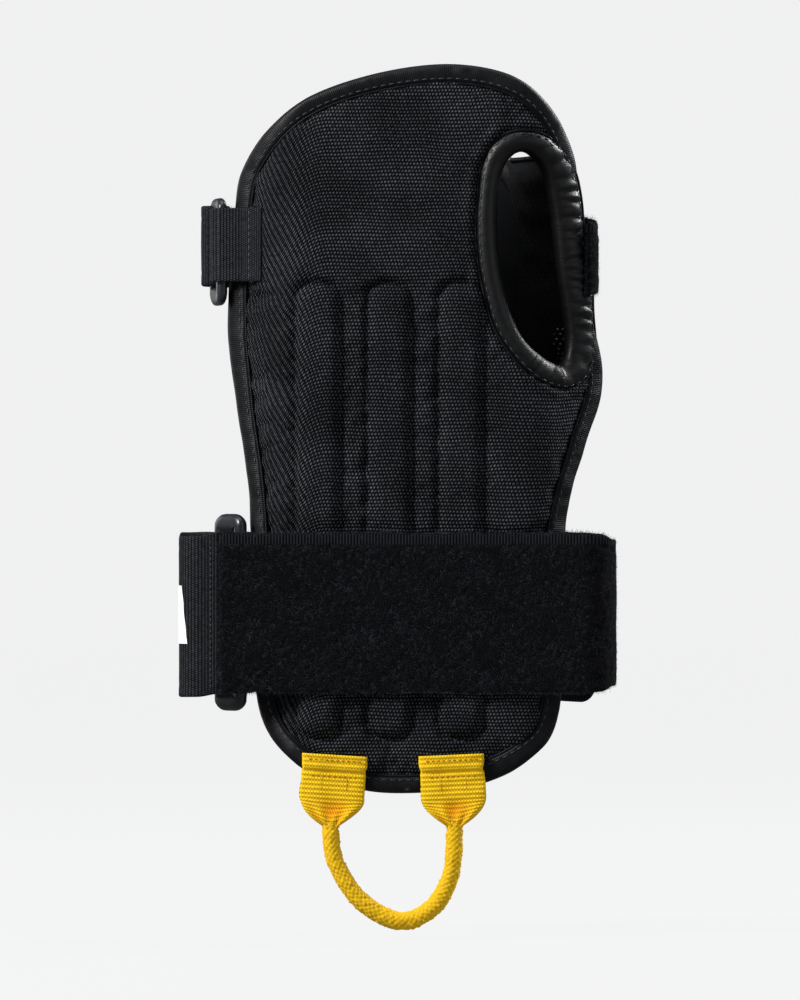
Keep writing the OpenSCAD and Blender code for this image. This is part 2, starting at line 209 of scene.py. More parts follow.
# ---------------------------------------------------------------- panel surfaces
# Outlines seen from -y: control points are x, z.
PALM_OUTLINE = [
    [0, -86.5], [20, -84.3], [37, -76.5], [46.2, -64], [48.2, -35], [49.3, 0], [54.5, 20],
    [60.6, 41], [57, 64], [53.8, 92], [50, 116], [37, 133.6], [15, 139.8], [-12, 136.6],
    [-36, 127], [-51, 110.5], [-55, 92], [-57, 60], [-54.5, 36], [-50.4, 8], [-49, -28],
    [-47, -61], [-35.5, -77.5], [-17, -85]]
HOLE_OUTLINE = [
    [47, 46.4], [50.8, 54], [48, 78], [46, 96], [43, 107.6], [36.5, 112.8], [30, 109.6],
    [27.2, 97], [28.4, 75], [34.6, 56]]
BACK_OUTLINE = [
    [1, -87.2], [24, -83], [37, -70.5], [40.6, -50], [37.2, -8], [37.2, 30], [41.4, 60],
    [43.6, 86], [38.5, 105], [23, 119.6], [2, 126], [-21, 119], [-36.2, 103], [-41, 85],
    [-36.6, 60], [-34, 25], [-34.4, -10], [-37.2, -50], [-34, -68], [-20, -82.2]]

# The palm panel is flat, then bends over a short width, then runs straight.
PALM_Y, PALM_FLAT, PALM_BEND, PALM_CURVE = -24, 32.0, 13, 0.035
# The back panel is flat about its own middle, then curves all the way out.
BACK_Y, BACK_MIDDLE, BACK_FLAT, BACK_CURVE = 24, 1.5, 12.0, 0.0125
TABLE_X = np.linspace(-90, 90, 3601)


def palm_y(x):
    out = np.maximum(0, np.abs(x) - PALM_FLAT)
    bent = np.minimum(out, PALM_BEND)
    return PALM_Y + PALM_CURVE * bent * bent + 2 * PALM_CURVE * PALM_BEND * (out - bent)


def palm_slope(x):
    bent = np.minimum(np.maximum(0, np.abs(x) - PALM_FLAT), PALM_BEND)
    return np.sign(x) * 2 * PALM_CURVE * bent


def back_y(x):
    out = np.maximum(0, np.abs(x - BACK_MIDDLE) - BACK_FLAT)
    return BACK_Y - BACK_CURVE * out * out


def back_slope(x):
    out = np.maximum(0, np.abs(x - BACK_MIDDLE) - BACK_FLAT)
    return -np.sign(x - BACK_MIDDLE) * 2 * BACK_CURVE * out


class Panel:
    """A panel surface: side is the y direction it faces, lift is height off it."""

    def __init__(self, control, side, height, slope):
        self.outline, self.stations = resample(spline(control, 12, True), OUTLINE_STEP, True)
        self.side, self.height, self.slope = side, height, slope
        steps = np.hypot(np.diff(TABLE_X), np.diff(height(TABLE_X)))
        arc = np.concatenate([[0], np.cumsum(steps)])
        self.arc_table = arc - np.interp(0, TABLE_X, arc)

    def arc(self, x):
        return np.interp(x, TABLE_X, self.arc_table)

    def thick(self, x):
        return PANEL_THICK / np.sqrt(1 + self.slope(x) ** 2)

    def normal(self, x):
        slope = self.slope(x)
        size = np.sqrt(1 + slope * slope)
        return xyz(-self.side * slope / size, self.side / size, 0)

    def point(self, x, z, lift):
        normal = self.normal(x)
        return xyz(x + normal[..., 0] * lift, self.height(x) + normal[..., 1] * lift, z)

    def seam(self, x, z, lift, reach=1.0):
        """Points and normals. The normals' length, reach, counts in stitch spacing."""
        return self.point(x, z, lift), self.normal(x) * reach


palm = Panel(PALM_OUTLINE, -1, palm_y, palm_slope)
back = Panel(BACK_OUTLINE, 1, back_y, back_slope)
hole, hole_stations = resample(spline(HOLE_OUTLINE, 14, True), 0.9, True)


# ---------------------------------------------------------------- mesh helpers
# A mesh is passed about as (points, faces, sc), sc being its surface coordinates.
def grid_faces(rows, columns, close_rows=False, close_columns=False, flip=False):
    i, j = lattice(
        np.arange(rows if close_rows else rows - 1),
        np.arange(columns if close_columns else columns - 1))
    next_i, next_j = (i + 1) % rows, (j + 1) % columns
    corners = ((i, j), (next_i, j), (next_i, next_j), (i, next_j))
    faces = np.stack([a * columns + b for a, b in corners], -1).reshape(-1, 4)
    return faces[:, ::-1] if flip else faces


def capped_faces(rings, sides):
    """Faces of an open tube with an end cap on its first and last ring."""
    caps = [tuple(range(sides))[::-1], tuple(range((rings - 1) * sides, rings * sides))]
    return [tuple(face) for face in grid_faces(rings, sides, False, True)] + caps


def build(name, mesh, material, body=BODY, replaces=(), recalc=False):
    points, faces, coords = mesh
    points = np.asarray(points, float).reshape(-1, 3) * MM
    data = bpy.data.meshes.new(name)
    if isinstance(faces, np.ndarray):
        data.vertices.add(len(points))
        data.vertices.foreach_set("co", points.ravel())
        data.loops.add(faces.size)
        data.loops.foreach_set("vertex_index", faces.ravel().astype(np.int32))
        data.polygons.add(len(faces))
        data.polygons.foreach_set("loop_start", np.arange(0, faces.size, 4, dtype=np.int32))
        data.update(calc_edges=True)
        data.validate()
    else:
        data.from_pydata(points.tolist(), [], [tuple(int(a) for a in face) for face in faces])
        data.update()
    attribute = data.attributes.new("sc", "FLOAT_VECTOR", "POINT")
    attribute.data.foreach_set("vector", np.asarray(coords, np.float32).ravel())
    if recalc:
        edit = bmesh.new()
        edit.from_mesh(data)
        bmesh.ops.recalc_face_normals(edit, faces=edit.faces)
        edit.to_mesh(data)
        edit.free()
    data.polygons.foreach_set("use_smooth", np.ones(len(data.polygons), bool))
    data.materials.append(material)
    thing = bpy.data.objects.new(name, data)
    scene.collection.objects.link(thing)
    if body:
        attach(thing, body)
    if replaces:
        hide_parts(*replaces)
    return thing


def merge(parts):
    points, faces, coords = [], [], []
    count = 0
    for part_points, part_faces, part_coords in parts:
        points.append(part_points.reshape(-1, 3))
        faces.append(part_faces + count)
        coords.append(part_coords.reshape(-1, 3))
        count += len(points[-1])
    return np.vstack(points), np.vstack(faces), np.vstack(coords)


def square_up(along, normals):
    """Unit directions, the normals squared to them, and the third axis."""
    along = unit(along)
    normals = unit(normals - (normals * along).sum(1, keepdims=True) * along)
    return along, normals, np.cross(along, normals)


# One stitch from end to end: place, radius share, and dip in radii.
STITCH_PLACE = np.array([-1, -0.86, -0.4, 0.4, 0.86, 1.0])
STITCH_RADIUS = (0.15, 0.72, 1.0, 1.0, 0.72, 0.15)
STITCH_DIP = (-1.0, -0.35, 0.25, 0.25, -0.35, -1.0)


def capsules(centres, along, normals, length, radius, seed, sides=6):
    """Small thread stitches, each its own closed-round body."""
    along, normals, across = square_up(along, normals)
    count = len(centres)
    lengths = length * (1 + np.random.default_rng(seed).uniform(-0.12, 0.12, count))
    angles = np.linspace(0, 2 * np.pi, sides, endpoint=False)
    points = np.empty((count, 6, sides, 3))
    for i, (place, share, dip) in enumerate(zip(STITCH_PLACE, STITCH_RADIUS, STITCH_DIP)):
        middle = centres + along * (lengths * place / 2)[:, None] + normals * (dip * radius)
        for j, a in enumerate(angles):
            spoke = math.cos(a) * normals + math.sin(a) * across
            points[:, i, j] = middle + spoke * radius * share
    size = 6 * sides
    faces = grid_faces(6, sides, False, True)[None] + (np.arange(count) * size)[:, None, None]
    coords = xyz(
        np.repeat(np.arange(count), size) * 3.1,
        np.tile(np.repeat(STITCH_PLACE, sides), count) * length, 0)
    return points.reshape(-1, 3), faces.reshape(-1, 4), coords


def stitch_line(points, normals, pitch, length, radius, seed, closed=False):
    line = resample(np.hstack([points, normals]), pitch, closed)[0]
    points, normals = line[:, :3], line[:, 3:]
    along = tangents(points, closed)
    if not closed:
        points, normals, along = points[1:-1], normals[1:-1], along[1:-1]
    return capsules(points, along, normals, length, radius, seed)


def tube(name, points, normals, radius, material, slot, closed=True, sides=8, body=BODY):
    _, normals, across = square_up(tangents(points, closed), normals)
    count = len(points)
    angles = np.linspace(0, 2 * np.pi, sides, endpoint=False)
    radii = (radius + np.zeros(count))[:, None, None]
    cos, sin = np.cos(angles)[None, :, None], np.sin(angles)[None, :, None]
    surface = points[:, None] + (cos * normals[:, None] + sin * across[:, None]) * radii
    s = np.concatenate([[0], np.cumsum(np.linalg.norm(np.diff(points, axis=0), axis=1))])
    coords = xyz(np.repeat(s, sides), np.tile(angles * np.mean(radius), count), 0)
    faces = grid_faces(count, sides, True, True) if closed else capped_faces(count, sides)
    build(name, (surface, faces, coords), material, body)


# ---------------------------------------------------------------- shader helpers
class Value:
    """A shader socket. Arithmetic on it adds nodes to the current tree."""

    tree = None
    place = None  # the sc attribute of the current tree

    def __init__(self, socket):
        self.socket = socket

    def __add__(self, other):
        return math_node("ADD", self, other)

    def __sub__(self, other):
        return math_node("SUBTRACT", self, other)

    def __rsub__(self, other):
        return math_node("SUBTRACT", other, self)

    def __mul__(self, other):
        return math_node("MULTIPLY", self, other)

    def __truediv__(self, other):
        return math_node("DIVIDE", self, other)

    def floor(self):
        return math_node("FLOOR", self)

    def fract(self):
        return math_node("FRACT", self)

    def sine(self):
        return math_node("SINE", self)

    def step(self, low, high):
        node = Value.tree.nodes.new("ShaderNodeMapRange")
        node.interpolation_type = "SMOOTHSTEP"
        feed(node.inputs["Value"], self)
        node.inputs["From Min"].default_value = low
        node.inputs["From Max"].default_value = high
        return Value(node.outputs["Result"])


def feed(target, item):
    if isinstance(item, Value):
        Value.tree.links.new(item.socket, target)
    else:
        target.default_value = item


def math_node(operation, *items):
    node = Value.tree.nodes.new("ShaderNodeMath")
    node.operation = operation
    for target, item in zip(node.inputs, items):
        feed(target, item)
    return Value(node.outputs[0])


def noise(scale, detail=2.0, rough=0.5):
    node = Value.tree.nodes.new("ShaderNodeTexNoise")
    node.inputs["Scale"].default_value = scale
    node.inputs["Detail"].default_value = detail
    node.inputs["Roughness"].default_value = rough
    feed(node.inputs["Vector"], Value.place)
    return Value(node.outputs[0])


# Colours under the limit are darkened and cooled.
DARK_LIMIT, DARKEN, COOL_TINT = 0.24, 0.36, (0.93, 1.0, 1.12)


def dark(color):
    if max(color) >= DARK_LIMIT:
        return tuple(color)
    return tuple(v * DARKEN * tint for v, tint in zip(color, COOL_TINT))


def mix(amount, first, second):
    """Mixes two colours, each an RGB tuple or a Value."""
    node = Value.tree.nodes.new("ShaderNodeMix")
    node.data_type = "RGBA"
    feed(node.inputs[0], amount)
    for index, color in ((6, first), (7, second)):
        feed(node.inputs[index], color if isinstance(color, Value) else (*dark(color), 1))
    return Value(node.outputs[2])


def material(name, color, rough, spec, coat=0.0, surface=None):
    """surface(x, y, z) takes the sc values and returns the varying inputs."""
    result = bpy.data.materials.new(name)
    result.use_nodes = True
    tree = result.node_tree
    shader = tree.nodes["Principled BSDF"]
    color = (*dark(color), 1)
    shader.inputs["Base Color"].default_value = color
    shader.inputs["Roughness"].default_value = rough
    shader.inputs["Specular IOR Level"].default_value = spec
    if coat:
        shader.inputs["Coat Weight"].default_value = coat
        shader.inputs["Coat Roughness"].default_value = 0.12
    result.diffuse_color = color
    if surface:
        Value.tree = tree
        attribute = tree.nodes.new("ShaderNodeAttribute")
        attribute.attribute_name = "sc"
        Value.place = Value(attribute.outputs["Vector"])
        split = tree.nodes.new("ShaderNodeSeparateXYZ")
        feed(split.inputs[0], Value.place)
        look = surface(*(Value(output) for output in split.outputs))
        targets = {"color": "Base Color", "spec": "Specular IOR Level", "rough": "Roughness"}
        for key, target in targets.items():
            if key in look:
                feed(shader.inputs[target], look[key])
        if "height" in look:
            relief = tree.nodes.new("ShaderNodeBump")
            relief.inputs["Distance"].default_value = look["relief"] * MM
            relief.inputs["Strength"].default_value = 1.0
            feed(relief.inputs["Height"], look["height"])
            tree.links.new(relief.outputs[0], shader.inputs["Normal"])
    return result


def wave(x, pitch, phase=None, swing=0.5):
    """Sine stripes between 0 and 1."""
    angle = x * (2 * math.pi / pitch)
    if phase is not None:
        angle = angle + phase
    return angle.sine() * swing + 0.5


def brick_dots(x, y, pitch, row, full, edge, squash):
    """Dots in staggered rows, fading out between two radii."""
    odd = ((y / row).floor() * 0.5).fract() * 2.0
    u = (x / pitch + odd * 0.5).fract() - 0.5
    v = (y / row).fract() - 0.5
    return math_node("POWER", u * u + v * v * squash, 0.5).step(edge, full)


def links(x, y, pitch, row):
    """Slanted threads that tie each loop to the next row."""
    u, w = x * (1 / pitch), y * (0.5 / row)
    rising = ((u - w - 0.25) * (2 * math.pi) + math.pi / 2).sine()
    falling = ((u + w - 0.75) * (2 * math.pi) + math.pi / 2).sine()
    return rising.step(0.62, 1.0) + falling.step(0.62, 1.0)


# ---------------------------------------------------------------- surfaces
# In each, "amount" runs from the first colour to the second, and "relief" is in mm.
def palm_knit(x, y, z):
    wobble = noise(scale=0.05, detail=1.0) * 1.8
    lean = (x * -1.0).step(24, 46)  # the rows slant towards the -x edge
    v = y + wobble - lean * (x + 24) * 0.95
    u = x + wobble * 0.4 - v * 0.18
    dots = brick_dots(u, v, pitch=1.06, row=1.10, full=0.10, edge=0.52, squash=1.15)
    ties = links(u, v, pitch=1.06, row=1.10)
    tone, grain, patch = noise(scale=1.0), noise(scale=3.2, detail=1.0), noise(scale=0.045)
    lit = dots * (tone.step(0.28, 0.72) * 0.80 + grain * 0.55) + ties * grain * 0.20
    amount = lit * (patch.step(0.3, 0.7) * 0.55 + 0.6)
    return dict(color=mix(amount, (0.0030, 0.0031, 0.0034), (0.226, 0.230, 0.234)),
                height=dots * 1.0 + grain * 0.4, relief=0.38, spec=amount * 0.16 + 0.012)


def back_knit(x, y, z):
    dots = brick_dots(x, y, pitch=1.04, row=1.16, full=0.10, edge=0.52, squash=1.1)
    ties = links(x, y, pitch=1.04, row=1.16)
    tone, patch, grain = noise(scale=0.9), noise(scale=0.05), noise(scale=3.2, detail=1.0)
    lit = dots * (tone.step(0.3, 0.7) * 0.8 + grain * 0.5) + ties * grain * 0.22
    amount = lit * (patch.step(0.3, 0.7) * 0.6 + 0.6)
    return dict(color=mix(amount, (0.0034, 0.0035, 0.0038), (0.236, 0.238, 0.2395)),
                height=dots * 0.9 + grain * 0.3, relief=0.28, spec=amount * 0.20 + 0.02)


def satin(x, y, z):
    ribs, tone = wave(x, pitch=0.62), noise(scale=0.35, detail=3.0)
    return dict(color=mix(tone, (0.006, 0.0062, 0.0068), (0.022, 0.0226, 0.025)),
                height=ribs * 0.5 + tone * 0.5, relief=0.10, rough=tone * 0.22 + 0.33)


def leather(x, y, z):
    cells = Value.tree.nodes.new("ShaderNodeTexVoronoi")
    cells.inputs["Scale"].default_value = 1.9
    feed(cells.inputs["Vector"], Value.place)
    tone = noise(scale=0.4, detail=3.0)
    return dict(color=mix(tone, (0.0040, 0.0042, 0.0048), (0.011, 0.0113, 0.0125)),
                height=Value(cells.outputs["Distance"]) * 0.5 + tone * 0.3, relief=0.09,
                rough=tone * 0.16 + 0.36)


RIB = 0.96  # pitch of the woven ribs across straps and webbing


def webbing(x, y, z):
    threads = wave(y, pitch=0.7, phase=(x / RIB).floor() * math.pi)
    tone, patch = noise(scale=0.8), noise(scale=0.06)
    ribs = wave(x, pitch=RIB, phase=math.pi / 2, swing=-0.5)
    # the ribs factor paints the rib crests lighter and the grooves darker, in step with the
    # ribbed relief: painted highlight and shade
    amount = (threads * 0.55 + tone * 0.85 - 0.18) * (patch * 0.6 + 0.6) * (ribs * 0.92 + 0.24)
    return dict(color=mix(amount, (0.0028, 0.0029, 0.0033), (0.102, 0.104, 0.108)),
                height=threads * 0.6 + tone * 0.3, relief=0.12, spec=amount * 0.16 + 0.01,
                rough=tone * 0.2 + 0.55)


def pile(x, y, selvedge):
    tuft = noise(scale=2.4, detail=4.0, rough=0.7)
    patch = noise(scale=0.42, detail=3.0, rough=0.6)
    fine = noise(scale=6.5, rough=0.6)
    lit = tuft.step(0.46, 0.68) * 0.5 + fine.step(0.52, 0.72) * 0.45
    tufted = mix(lit * (patch * 1.2 + 0.10), (0.0028, 0.0029, 0.0033), (0.105, 0.107, 0.112))
    ribs = wave(x, pitch=RIB)
    woven = mix(ribs, (0.005, 0.0052, 0.0058), (0.050, 0.051, 0.055))
    height = (tuft * 0.7 + fine * 0.5) * (1.0 - selvedge) + ribs * selvedge * 0.6
    return dict(color=mix(selvedge, tufted, woven), height=height, relief=0.6)


def fibre(shade, y, z):
    return dict(color=mix(shade, (0.010, 0.0103, 0.0115), (0.150, 0.154, 0.168)))


def lining(x, y, z):
    tone = noise(scale=1.4, detail=3.0)
    return dict(color=mix(tone, (0.011, 0.0112, 0.012), (0.026, 0.0265, 0.028)),
                height=tone * 0.6 + wave(x, pitch=0.8) * 0.3, relief=0.10)


# Stretch mesh: its pale grey dots are painted light seen through the pinholes
def stretch(x, y, zone_share):
    dots = brick_dots(x, y, pitch=1.9, row=1.55, full=0.10, edge=0.20, squash=1.0)
    ribs, tone = wave(x, pitch=0.9), noise(scale=0.9)
    ground = mix(tone, (0.010, 0.0102, 0.011), (0.026, 0.0265, 0.029))
    amount = dots * (zone_share * 1.0 * 0.85 + 0.03)  # pale dots are painted light showing through the mesh's pinholes, strongest where the third coordinate is high
    return dict(color=mix(amount, ground, (0.42, 0.42, 0.42)),
                height=ribs * 0.5 + tone * 0.4, relief=0.14)


def hook(x, y, z):
    tone = noise(scale=1.4)
    return dict(color=mix(tone, (0.010, 0.010, 0.011), (0.022, 0.022, 0.024)),
                height=tone, relief=0.1)


def tape(x, y, shadow):
    ribs = wave(y, pitch=1.42)
    threads = wave(x, pitch=0.9, phase=(y / 0.71).floor() * math.pi)
    tone = noise(scale=1.1, detail=3.0)
    amount = (ribs.step(0.0, 0.8) * 0.30 + 0.62) * (threads * 0.35 + tone * 0.5 + 0.42)
    speckle = noise(scale=3.4).step(0.60, 0.74) * 0.7
    bright = mix(tone, (0.76, 0.45, 0.003), (0.90, 0.62, 0.012))
    lit = mix(speckle, mix(amount, (0.52, 0.27, 0.002), bright), (0.84, 0.66, 0.10))
    return dict(color=mix(shadow * (tone * 0.6 + 0.5), lit, (0.66, 0.22, 0.0005)),
                height=ribs * 0.4 + threads * 0.5, relief=0.26)


def cord(x, y, raised):
    tone = noise(scale=1.2, detail=3.0)
    speckle = noise(scale=3.6).step(0.58, 0.74) * 0.55
    bright = mix(tone, (0.64, 0.365, 0.002), (0.73, 0.46, 0.007))
    # raised is the bead height: the valleys between the beads get the darker colour as painted
    # shade
    braid = mix(raised, (0.56, 0.29, 0.001), bright)
    return dict(color=mix(speckle, braid, (0.78, 0.60, 0.09)), height=tone, relief=0.12)


def white_ink(x, y, z):
    tone = noise(scale=0.8, detail=3.0)
    return dict(color=mix(tone, (0.70, 0.70, 0.71), (0.86, 0.86, 0.86)),
                height=tone, relief=0.08)


# name, base colour, roughness, specular level, coat weight, surface
MATERIALS = {row[0]: material(*row) for row in (
    ("knit_mesh", (0.02, 0.02, 0.022), 0.75, 0.11, 0, palm_knit),
    ("knit_back", (0.02, 0.02, 0.022), 0.75, 0.11, 0, back_knit),
    ("satin_binding", (0.03, 0.03, 0.033), 0.40, 0.16, 0, satin),
    ("rim_leather", (0.018, 0.018, 0.019), 0.30, 0.36, 0, leather),
    ("ribbed_webbing", (0.022, 0.022, 0.024), 0.6, 0.20, 0, webbing),
    ("brushed_pile", (0.012, 0.012, 0.013), 0.95, 0.05, 0, pile),
    ("pile_fibre", (0.052, 0.053, 0.059), 0.8, 0.06, 0, fibre),
    ("brushed_lining", (0.018, 0.018, 0.019), 0.9, 0.12, 0, lining),
    ("stretch_mesh", (0.02, 0.02, 0.021), 0.7, 0.15, 0, stretch),
    ("hook_tape", (0.016, 0.016, 0.017), 0.5, 0.35, 0, hook),
    ("moulded_ring", (0.036, 0.037, 0.042), 0.34, 0.5, 0.10, None),
    ("yellow_tape", (0.90, 0.52, 0.006), 0.72, 0.12, 0, tape),
    ("yellow_cord", (0.90, 0.52, 0.006), 0.7, 0.14, 0, cord),
    ("white_print", (0.80, 0.80, 0.80), 0.6, 0.3, 0, white_ink),
    ("thread_black", (0.085, 0.087, 0.095), 0.5, 0.4, 0, None),
    ("thread_grey", (0.13, 0.13, 0.135), 0.55, 0.4, 0, None),
    ("thread_white", (0.62, 0.62, 0.60), 0.6, 0.3, 0, None),
    ("thread_orange", (0.50, 0.22, 0.004), 0.6, 0.3, 0, None),
    ("thread_yellow", (0.97, 0.66, 0.03), 0.5, 0.4, 0, None),
    ("stay_plastic", (0.70, 0.70, 0.68), 0.45, 0.4, 0, None),
)}
SATIN = MATERIALS["satin_binding"]
WEB = MATERIALS["ribbed_webbing"]
THREAD = MATERIALS["thread_black"]

# ---------------------------------------------------------------- padded panels
SHEET_STEP = 1.0
SIM_SCALE = 10.0  # the cloth is simulated ten times life size, in metres
SIM_FRAMES = 18
SIM_SETTINGS = dict(
    quality=6, mass=0.3, tension_stiffness=12, compression_stiffness=12, shear_stiffness=5,
    bending_stiffness=0.25, vertex_group_mass="pin", use_pressure=True,
    uniform_pressure_force=2.5, air_damping=3.0)


def cloth_puff(name, grid, keep, pin, slack, limit):
    """Swells a sheet pinned on its seams and returns its height over the grid."""
    kept = np.nonzero(keep.ravel())[0]
    index = -np.ones(keep.size, int)
    index[kept] = np.arange(len(kept))
    x, z = lattice(*grid)
    uneven = 0.05 * np.random.default_rng(5).standard_normal(len(kept))
    points = xyz(x.ravel()[kept], z.ravel()[kept], uneven)
    faces = index[grid_faces(*keep.shape)]
    faces = faces[(faces >= 0).all(1)]
    data = bpy.data.meshes.new(name)
    data.from_pydata((points * MM * SIM_SCALE).tolist(), [], faces.tolist())
    data.update()
    sheet = bpy.data.objects.new(name, data)
    scene.collection.objects.link(sheet)
    group = sheet.vertex_groups.new(name="pin")
    weights = pin.ravel()[kept]
    for i in np.nonzero(weights > 0.02)[0]:
        group.add([int(i)], float(weights[i]), "REPLACE")
    cloth = sheet.modifiers.new("cloth", "CLOTH")
    for key, value in SIM_SETTINGS.items():
        setattr(cloth.settings, key, value)
    cloth.settings.shrink_min = -slack
    cloth.settings.effector_weights.gravity = 0.0
    cloth.collision_settings.use_collision = False
    cloth.collision_settings.use_self_collision = False
    cloth.point_cache.frame_start = 1
    cloth.point_cache.frame_end = SIM_FRAMES
    for step in range(1, SIM_FRAMES + 1):
        scene.frame_set(step)
        graph = bpy.context.evaluated_depsgraph_get()
    result = sheet.evaluated_get(graph).data
    moved = np.empty(len(result.vertices) * 3)
    result.vertices.foreach_get("co", moved)
    scene.frame_set(1)
    heights = np.zeros(keep.size)
    heights[kept] = np.clip(moved.reshape(-1, 3)[:, 2] / MM / SIM_SCALE, -limit, limit)
    bpy.data.objects.remove(sheet, do_unlink=True)
    bpy.data.meshes.remove(data)
    return heights.reshape(keep.shape)


def bilinear(grid, heights, x, z):
    cells = []
    for axis, place in zip(grid, (x, z)):
        f = np.clip((place - axis[0]) / (axis[1] - axis[0]), 0, len(axis) - 1.001)
        cells.append((f.astype(int), f - f.astype(int)))
    (i, u), (j, v) = cells
    return (heights[i, j] * (1 - u) * (1 - v) + heights[i + 1, j] * u * (1 - v)
            + heights[i, j + 1] * (1 - u) * v + heights[i + 1, j + 1] * u * v)


def sheet_grid(x0, x1, z0, z1):
    return lattice(
        np.linspace(x0, x1, int((x1 - x0) / SHEET_STEP) + 1),
        np.linspace(z0, z1, int((z1 - z0) / SHEET_STEP) + 1))


def add_sheet(name, panel, x, z, keep, lift, material_name, replaces):
    """The cells of a grid whose corners are all kept, laid at a lift off a panel."""
    faces = grid_faces(*x.shape)
    faces = faces[keep.ravel()[faces].all(1)]
    used = np.unique(faces)
    index = -np.ones(keep.size, int)
    index[used] = np.arange(len(used))
    points = panel.point(x, z, lift).reshape(-1, 3)[used]
    coords = xyz(panel.arc(x).ravel()[used], z.ravel()[used], 0)
    build(name, (points, index[faces], coords), MATERIALS[material_name],
          replaces=replaces)


# Three raised stay channels stand up along the palm panel.
CHANNELS = (-28.5, -6.4, 15.9)
CHANNEL_LOW, CHANNEL_HIGH, CHANNEL_POWER = -62.5, 65.0, 2.7


def channel_reach(x, z, middle):
    """Rounded-square distance from the middle line of a channel."""
    past_end = abs(z - np.clip(z, CHANNEL_LOW, CHANNEL_HIGH))
    return (abs(x - middle) ** CHANNEL_POWER + past_end**CHANNEL_POWER) ** (1 / CHANNEL_POWER)


def palm_depths(x, z):
    """Distances in from the palm outline and out from the thumb hole."""
    return depth(x, z, palm.outline), -depth(x, z, hole)


def puff_palm(grid):
    x, z = lattice(*grid)
    edge, rim = palm_depths(x, z)
    pin = np.maximum(ease((6.5 - edge) / 2.5), ease((8.5 - rim) / 2.5))
    for middle in CHANNELS:
        pin = np.maximum(pin, ease((7.6 - channel_reach(x, z, middle)) / 1.2))
    pin = np.maximum(pin, band(z, -55, -6, 3) * 0.9)  # held under the wide strap
    keep = (edge > -1) & (rim > 0)
    return cloth_puff("sim_palm", grid, keep, pin, slack=0.05, limit=1.6)


PALM_GRID = np.arange(-62, 66.1, 2.0), np.arange(-88, 142.1, 2.0)
PALM_PUFF = puff_palm(PALM_GRID)


def palm_lift(x, z, edge, rim):
    # padding rises from both edges, with a crease inside the outer one
    lift = 0.7 * ease((edge - 5) / 16) * ease((rim - 8) / 10) - 0.75 * bump(edge - 5.0, 1.5)
    # a roll and then a crease towards the thumb rim
    lift += 0.95 * bump(rim - 8.6, 1.5) - 0.7 * bump(rim - 6.4, 0.9)
    puff = np.clip(bilinear(PALM_GRID, PALM_PUFF, x, z), -0.8, 1.5)
    for middle in CHANNELS:
        reach = channel_reach(x, z, middle)
        crown = np.clip(1 - (reach / 6.4) ** 2, 0, 1) ** 0.42
        ripple = 1 + 0.07 * noise2(x * 0.3, z, 31 + int(middle), 6, 24)
        lift += 2.75 * crown * ripple * (1.24 - 0.34 * band(z, -57, -4, 5))
        lift -= 0.95 * bump(reach - 7.2, 0.85)
        puff = puff * ease((reach - 6.2) / 2.0)
    lift += puff + 0.10 * noise2(x, z, 3, 9, 40)
    return np.minimum(lift, 3.8 - 0.85 * band(z, -58, -3, 3))


def palm_sheets():
    x, z = sheet_grid(-62, 66, -88, 142)
    edge, rim = palm_depths(x, z)
    keep = (edge > 1.3) & (rim > 1.3)
    add_sheet("palm_outer_fabric", palm, x, z, keep, palm_lift(x, z, edge, rim), "knit_mesh",
              ("palm_shell", "palm_foam", "stay_channels"))
    lift = -palm.thick(x) - 0.35 * ease((edge - 5) / 10) * ease((rim - 6) / 8)
    lift += 0.25 * noise2(x, z, 8, 10, 40) + 0.5 * bump(edge - 14, 0.8) * ease((z - 90) / 6)
    add_sheet("palm_inner_lining", palm, x, z, keep, lift, "brushed_lining",
              ("palm_lining",))


# Grooves down the back panel: x at a reference z, lean, reference z, share pinned in
# the cloth, depth, width, and the z range of the stitches beside it.
GROOVES = (
    (1.8, 0.010, 10, 1, 0.9, 1.5, -82, 118),
    (-17.6, -0.020, 10, 1, 1.2, 1.7, -80, 114),
    (20.5, 0.035, -10, 0.6, 0.7, 2.6, -79, 113),
)
BACK_SIDES = -36.5, 39.5  # outer limits of the padded strips between grooves


def groove_x(groove, z):
    return groove[0] + groove[1] * (z - groove[2])


def under_straps(z):
    return np.maximum(band(z, -57, -4, 4), band(z, 70, 98, 4))


def puff_back(grid):
    x, z = lattice(*grid)
    edge = depth(x, z, back.outline)
    pin = ease((6.5 - edge) / 2.5)
    for groove in GROOVES:
        pin = np.maximum(pin, ease((2.2 - abs(x - groove_x(groove, z))) / 1.2) * groove[3])
    pin = np.maximum(pin, under_straps(z))
    return cloth_puff("sim_back", grid, edge > -1, pin, slack=0.06, limit=1.8)


def back_lift(x, z, edge):
    strapped = under_straps(z)
    free = 1 - strapped
    lift = 0.3 * ease((edge - 5) / 12) * free - 0.8 * bump(edge - 5.0, 1.5)
    middle, left_groove, right_groove = (groove_x(groove, z) for groove in GROOVES)
    strips = (BACK_SIDES[0], left_groove, middle, right_groove, BACK_SIDES[1])
    for low, high in zip(strips, strips[1:]):
        t = (x - (low + high) / 2) / ((high - low) / 2)
        lift = lift + 2.15 * np.clip(1 - t * t, 0, 1) ** 0.55 * free * ease((edge - 4.0) / 5)
    for groove in GROOVES:
        cut = bump(x - groove_x(groove, z), groove[5])
        lift -= groove[4] * cut * (0.35 + 0.65 * free)
    lift += np.clip(bilinear(BACK_GRID, BACK_PUFF, x, z), -0.6, 1.5) * free
    lift += 0.12 * noise2(x, z, 17, 9, 40) * free
    lift += 1.1 * bump(x + 37.5, 2.4) * bump(z - 65, 4)  # one small bulge at the -x edge
    return np.where(strapped > 0.5, np.minimum(lift, 0.10), np.minimum(lift, 3.5))


